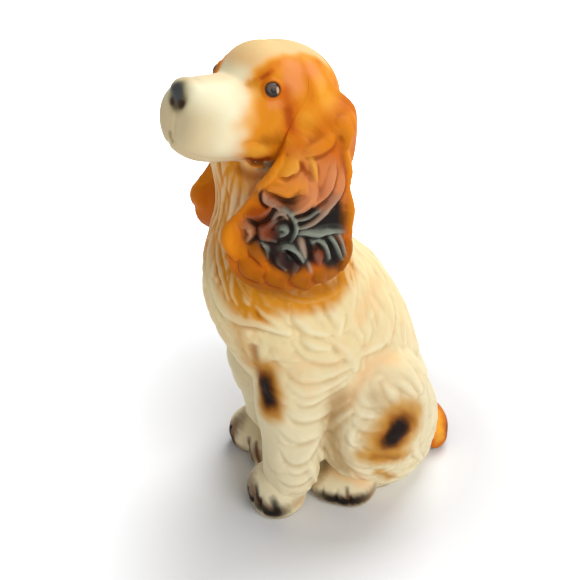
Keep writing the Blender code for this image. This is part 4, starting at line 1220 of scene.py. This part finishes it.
def ear_outside(skin, side):
    """1 on the side of an ear that faces away from the head, else 0."""
    away = skin.points - np.array((0.0, EAR_AXIS_Y * MM, 0.0))
    away[:, 2] = 0
    return step(-0.1, 0.2, (skin.normals * away).sum(axis=1) / np.linalg.norm(away, axis=1))


def make_paw(name, centre, radii, turn, square, *more):
    rotation = Matrix.Rotation(math.radians(turn), 3, "Z")
    pieces = [ellipsoid(name, mm(centre), mm(radii), rotation, square)]
    pieces += [ellipsoid("lobe", mm(place), mm(size), rotation) for place, size in more]
    return Skin(fuse(name, pieces, 0.8 * MM, 4))


def carve_paw(skin, centre, radii, turn):
    """Cuts the gaps between the toes, down the front of the paw."""
    rotation = Matrix.Rotation(math.radians(turn), 3, "Z")
    half_wide, long, tall = (1.0, 1.3, 1.3) * np.array(radii)
    for across in TOE_GROOVES:
        route = []
        for tilt in np.radians(np.linspace(30, -24, 14)):
            reach = (across * half_wide, -long * math.cos(tilt), tall * math.sin(tilt))
            route.append((rotation @ Vector(reach) + Vector(centre)) * MM)
        line, normals = skin.seat_line(route)
        skin.draw(line, normals, 0.9 * MM, -1.0 * MM, 0.8)


def paint_paw(skin, name, model):
    """Cream, with the black and brown sprayed where the photograph shows them on the model.

    The model is the paw itself, or its mirror image where the photograph hides this one.
    """
    skin.paint[:] = linear(CREAM_LOW)
    skin.glaze(PEACH, 0.35 * step(0.0, 1.0, ripple(skin.points, 14 * MM, 73)))
    skin.glaze(BROWN, 0.5 * step(3.5 * MM, 0.5 * MM, skin.points[:, 2]))
    for colour, width, strength, route in PAW_GLAZE[name]:
        line, normals = model.seen_line(route, 5 * len(route))
        if model is not skin:
            line, normals = skin.seat_line(p * (-1, 1, 1) for p in line)
        skin.glaze(colour, strength * skin.band(line, normals, width * MM, 0.8, 0.15, 0.4))
    if name != "hind_paw":
        # a dark edge on the sides facing forward, down and to the dog's right: black-brown spray and
        # painted shade
        skin.spray_and_shade_side(BROWN_BLACK, (-0.5, -0.8, -0.35), 0.72, 0.98, 0.9)


def make_tail():
    rings = [ring((x, y, z), (0, r, 0), (0, 0, r), 40) for x, y, z, r in spread(TAIL_ROWS, 20) * MM]
    return Skin(fuse("tail_stub", [loft("tail", rings)], 0.8 * MM, 8))


def paint_tail(skin):
    """Bright orange, yellow where it leaves the body as a painted highlight on top, with a dark sprayed
    edge underneath and at the back that is partly painted shade.
    """
    skin.paint[:] = linear(EAR_ORANGE)
    across, _, height = skin.points.T / MM
    # a painted highlight in yellow on top where the tail leaves the body
    skin.glaze(YELLOW, 0.85 * step(18, 8, across) * step(14, 26, height))
    skin.glaze(DEEP_ORANGE, 0.8 * step(0.1, 0.9, ripple(skin.points, 12 * MM, 61)))
    # darker underneath and along the back edge: brown spray and painted shade
    skin.glaze(BROWN, 0.8 * step(-0.1, -0.9, skin.normals[:, 2]))
    skin.spray_and_shade_side(BROWN, (0.53, 0.85, -0.1), 0.6, 1.05, 0.8)
    # a painted highlight in yellow on the tail
    skin.stroke(YELLOW, ((436, 412), (438, 426), (440, 438)), 2.6, 0.8, 0.9)


def make_eye(name, skin, side):
    """A glossy bead with iris and pupil, let into the head until only its front stands proud."""
    on_skin, normal = eye_seat(skin, side)
    centre = on_skin - normal * (EYE_RADIUS - EYE_PROUD)
    eye = Skin(ellipsoid(name, centre, (EYE_RADIUS,) * 3))
    gaze = normal + np.array((0.0, 0.10, -0.06))
    gaze /= np.linalg.norm(gaze)
    outward = (eye.points - centre) / EYE_RADIUS
    angle = np.degrees(np.arccos(np.clip(outward @ gaze, -1, 1)))
    across = np.cross(normal, (0.0, 0.0, 1.0)) * side
    across /= np.linalg.norm(across)
    level, rise = outward @ across, outward @ np.cross(across, normal) * side
    eye.paint[:] = linear(EYE_BLACK)
    # painted light: the iris is lit above the pupil, and a painted reflection shows as a light sliver
    # behind it
    eye.glaze(IRIS, 0.8 * step(0.62, 0.4, np.hypot(level - 0.08, rise - 0.14)))
    eye.glaze(EYE_BLACK, step(0.36, 0.22, np.hypot(level + 0.04, rise + 0.12)))
    eye.glaze(EYE_PAINTED_REFLECTION, 0.9 * step(0.2, 0.1, np.hypot(level + 0.5, (rise + 0.16) / 2.4)))
    return eye


def add_node(tree, kind, values=None, sources=None, operation=None):
    """A shader node with its sockets set to values or joined to sources."""
    node = tree.nodes.new("ShaderNode" + kind)
    if operation:
        node.operation = operation
    for socket, value in (values or {}).items():
        node.inputs[socket].default_value = value
    for socket, source in (sources or {}).items():
        tree.links.new(source, node.inputs[socket])
    return node


def bisque(name, rough_low, rough_high, shine):
    """Airbrushed clay: the paint attribute, mottled, with a fine grain and a satin surface."""
    material = bpy.data.materials.new(name)
    material.use_nodes = True
    tree = material.node_tree
    shader = tree.nodes["Principled BSDF"]
    shader.inputs["Specular IOR Level"].default_value = shine
    paint = add_node(tree, "Attribute")
    paint.attribute_name = "paint"
    place = add_node(tree, "TexCoord").outputs["Object"]
    cloud = add_node(tree, "TexNoise", {"Scale": 90.0, "Detail": 3.0}, {"Vector": place}).outputs["Fac"]
    shade = add_node(tree, "MapRange", {"To Min": 0.94, "To Max": 1.05}, {"Value": cloud}).outputs[0]
    tone = add_node(tree, "VectorMath", None, {0: paint.outputs["Color"], "Scale": shade}, "SCALE")
    rough = add_node(tree, "MapRange", {"To Min": rough_low, "To Max": rough_high}, {"Value": cloud})
    grain = add_node(tree, "TexNoise", {"Scale": 1400.0, "Detail": 2.0}, {"Vector": place}).outputs["Fac"]
    bump = add_node(tree, "Bump", {"Strength": 0.12, "Distance": 0.1 * MM}, {"Height": grain})
    for socket, node in (("Base Color", tone), ("Roughness", rough), ("Normal", bump)):
        tree.links.new(node.outputs[0], shader.inputs[socket])
    return material


def add_camera():
    data = bpy.data.cameras.new("camera")
    data.sensor_width = SENSOR_WIDTH
    data.lens = CAMERA_LENS
    data.clip_start = 0.01
    camera = add_object("camera", data)
    camera.location = CAMERA_PLACE
    camera.rotation_euler = [math.radians(a) for a in CAMERA_TURN]
    bpy.context.scene.camera = camera


def area_lamp(name, place, power):
    """A disc of light that faces the lamps' common aim."""
    data = bpy.data.lights.new(name, "AREA")
    data.shape = "DISK"
    data.size = LAMP_SIZE
    data.energy = power
    lamp = add_object(name, data)
    lamp.location = place
    lamp.rotation_euler = (Vector(place) - Vector(LAMP_AIM)).to_track_quat("Z", "Y").to_euler()


def seen_directly(tree):
    """1 for rays from the camera, or by way of a mirror or glass, else 0."""
    rays = add_node(tree, "LightPath").outputs
    total = rays["Is Camera Ray"]
    for kind in ("Is Glossy Ray", "Is Transmission Ray"):
        total = add_node(tree, "Math", None, {0: total, 1: rays[kind]}, "MAXIMUM").outputs[0]
    return total


def ramp(tree, source, start, end, low, high):
    """A source from start to end as low to high, and no further."""
    values = {"From Min": start, "From Max": end, "To Min": low, "To Max": high}
    return add_node(tree, "MapRange", values, {"Value": source}).outputs[0]


def add_light():
    """A wide lamp high behind the dog, a weaker one on its left, and a white surround that is
    brightest near the floor."""
    area_lamp("key", KEY_PLACE, KEY_POWER)
    area_lamp("side", SIDE_PLACE, SIDE_POWER)
    world = bpy.data.worlds.new("studio")
    bpy.context.scene.world = world
    world.use_nodes = True
    tree = world.node_tree
    way = add_node(tree, "TexCoord").outputs["Generated"]
    height = add_node(tree, "SeparateXYZ", None, {0: way}).outputs["Z"]
    level = ramp(tree, height, *SURROUND_BAND, SURROUND_LOW, SURROUND_HIGH)
    light, seen = tree.nodes["Background"], add_node(tree, "Background")
    for node in (light, seen):
        node.inputs["Color"].default_value = (1, 1, 1, 1)
    tree.links.new(level, light.inputs["Strength"])
    sources = {0: seen_directly(tree), 1: light.outputs[0], 2: seen.outputs[0]}
    mix = add_node(tree, "MixShader", None, sources)
    tree.links.new(mix.outputs[0], tree.nodes["World Output"].inputs["Surface"])


def add_floor():
    """White paper that fades into the white surround but keeps the dog's shadow."""
    bm = bmesh.new()
    bmesh.ops.create_grid(bm, x_segments=8, y_segments=8, size=1.5)
    floor = object_from_bmesh("floor", bm)
    material = bpy.data.materials.new("paper")
    material.use_nodes = True
    tree = material.node_tree
    shader = tree.nodes["Principled BSDF"]
    shader.inputs["Base Color"].default_value = (*FLOOR_WHITE, 1)
    shader.inputs["Roughness"].default_value = 0.9
    shader.inputs["Specular IOR Level"].default_value = 0.1
    shader.inputs["Emission Color"].default_value = (1, 1, 1, 1)
    # away from the dog the paper is as bright as the surround
    place = add_node(tree, "TexCoord").outputs["Object"]
    away = add_node(tree, "VectorMath", None, {0: place}, "LENGTH").outputs["Value"]
    sources = {0: seen_directly(tree), 1: ramp(tree, away, *FLOOR_FADE, 0.0, 1.0)}
    glow = add_node(tree, "Math", None, sources, "MULTIPLY").outputs[0]
    tree.links.new(glow, shader.inputs["Emission Strength"])
    floor.data.materials.append(material)


def finish_piece(skin, slot, material, *nodes):
    skin.finish_shape()
    obj = skin.obj
    obj.data.materials.clear()
    obj.data.materials.append(material)
    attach(obj, "root")
    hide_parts(*nodes)


def build_coat():
    coat = make_coat()
    carve_coat(coat, comb_field(coat))
    paint_coat(coat)
    finish_piece(coat, "cream_bisque", clay, "body", "left_foreleg", "right_foreleg")


def build_face():
    """The head with its eyes; returns the skin of the head, which the ears are eased onto."""
    face = make_head()
    for word, side in SIDES:
        eye = make_eye(word + "_bead", face, side)
        finish_piece(eye, "eye_gloss", gloss, word + "_eye")
    carve_face(face)
    paint_face(face)
    finish_piece(face, "cream_bisque", clay, "head")
    return face


def find_ear_marks(ear, side):
    """Where the zones and locks of the photograph lie on the ear in view, as ear_map's places."""
    zones, routes = {}, []
    for zone, outline in (("dark", EAR_DARK_ZONE), ("pink", EAR_PINK_ZONE)):
        found = [ear.seen(x, y) for x, y in outline]
        zones[zone] = ear_map(ear, side, np.array([f[0] for f in found if f is not None]))
    for _, _, _, route in EAR_LOCKS:
        line, _ = ear.seen_line(route, 6 * len(route))
        routes.append(ear_map(ear, side, line))
    return zones, routes


def build_ear(word, side, face, marks):
    """An ear with the marks given, or found on it where there are none; returns the marks."""
    ear = make_ear(word + "_ear_leather", side)
    zones, routes = marks or find_ear_marks(ear, side)
    weight, glaze = ease_onto(ear, side, face)
    carve_ear(ear, side, routes)
    paint_ear(ear, side, routes, zones)
    # the eased top has the head's smooth skin and glaze
    ear.relief *= 1 - weight
    ear.paint += (glaze - ear.paint) * step(0.3, 0.9, weight)[:, None]
    finish_piece(ear, "orange_bisque", clay, word + "_ear")
    return zones, routes


def build_forepaw(word, side):
    centre, radii, turn = FOREPAWS[side]
    lobes = (RIGHT_TOES,) if side < 0 else ()
    paw = make_paw(word + "_fore_toes", centre, radii, turn, FOREPAW_SQUARE, *lobes)
    carve_paw(paw, centre, radii, turn)
    paint_paw(paw, word + "_forepaw", paw)
    finish_piece(paw, "cream_bisque", clay, word + "_forepaw")


def build_hind_paw(word, side, model):
    """A hind paw, painted after the model or, where there is none, after the photograph."""
    x, y, z = HINDPAW_CENTRE
    centre, turn = (side * x, y, z), side * HINDPAW_TURN
    ankle_x, ankle_y, ankle_z = ANKLE_CENTRE
    ankle = ((side * ankle_x, ankle_y, ankle_z), ANKLE_RADII)
    paw = make_paw(word + "_hind_toes", centre, HINDPAW_RADII, turn, HINDPAW_SQUARE, ankle)
    carve_paw(paw, centre, HINDPAW_RADII, turn)
    paint_paw(paw, "hind_paw", model or paw)
    finish_piece(paw, "cream_bisque", clay, word + "_hind_paw")
    return paw


def build_tail():
    tail = make_tail()
    paint_tail(tail)
    finish_piece(tail, "orange_bisque", clay, "tail")


add_camera()
add_light()
add_floor()
clay = bisque("airbrushed_clay", 0.45, 0.6, 0.1)
gloss = bisque("eye_glaze", 0.2, 0.3, 0.3)

build_coat()
face = build_face()
# the photograph shows the left ear and hind paw, and the right ones follow them
ear_marks, seen_paw = None, None
for word, side in SIDES:
    ear_marks = build_ear(word, side, face, ear_marks)
    build_forepaw(word, side)
    seen_paw = build_hind_paw(word, side, seen_paw)
build_tail()

bpy.context.scene.view_settings.view_transform = "Standard"
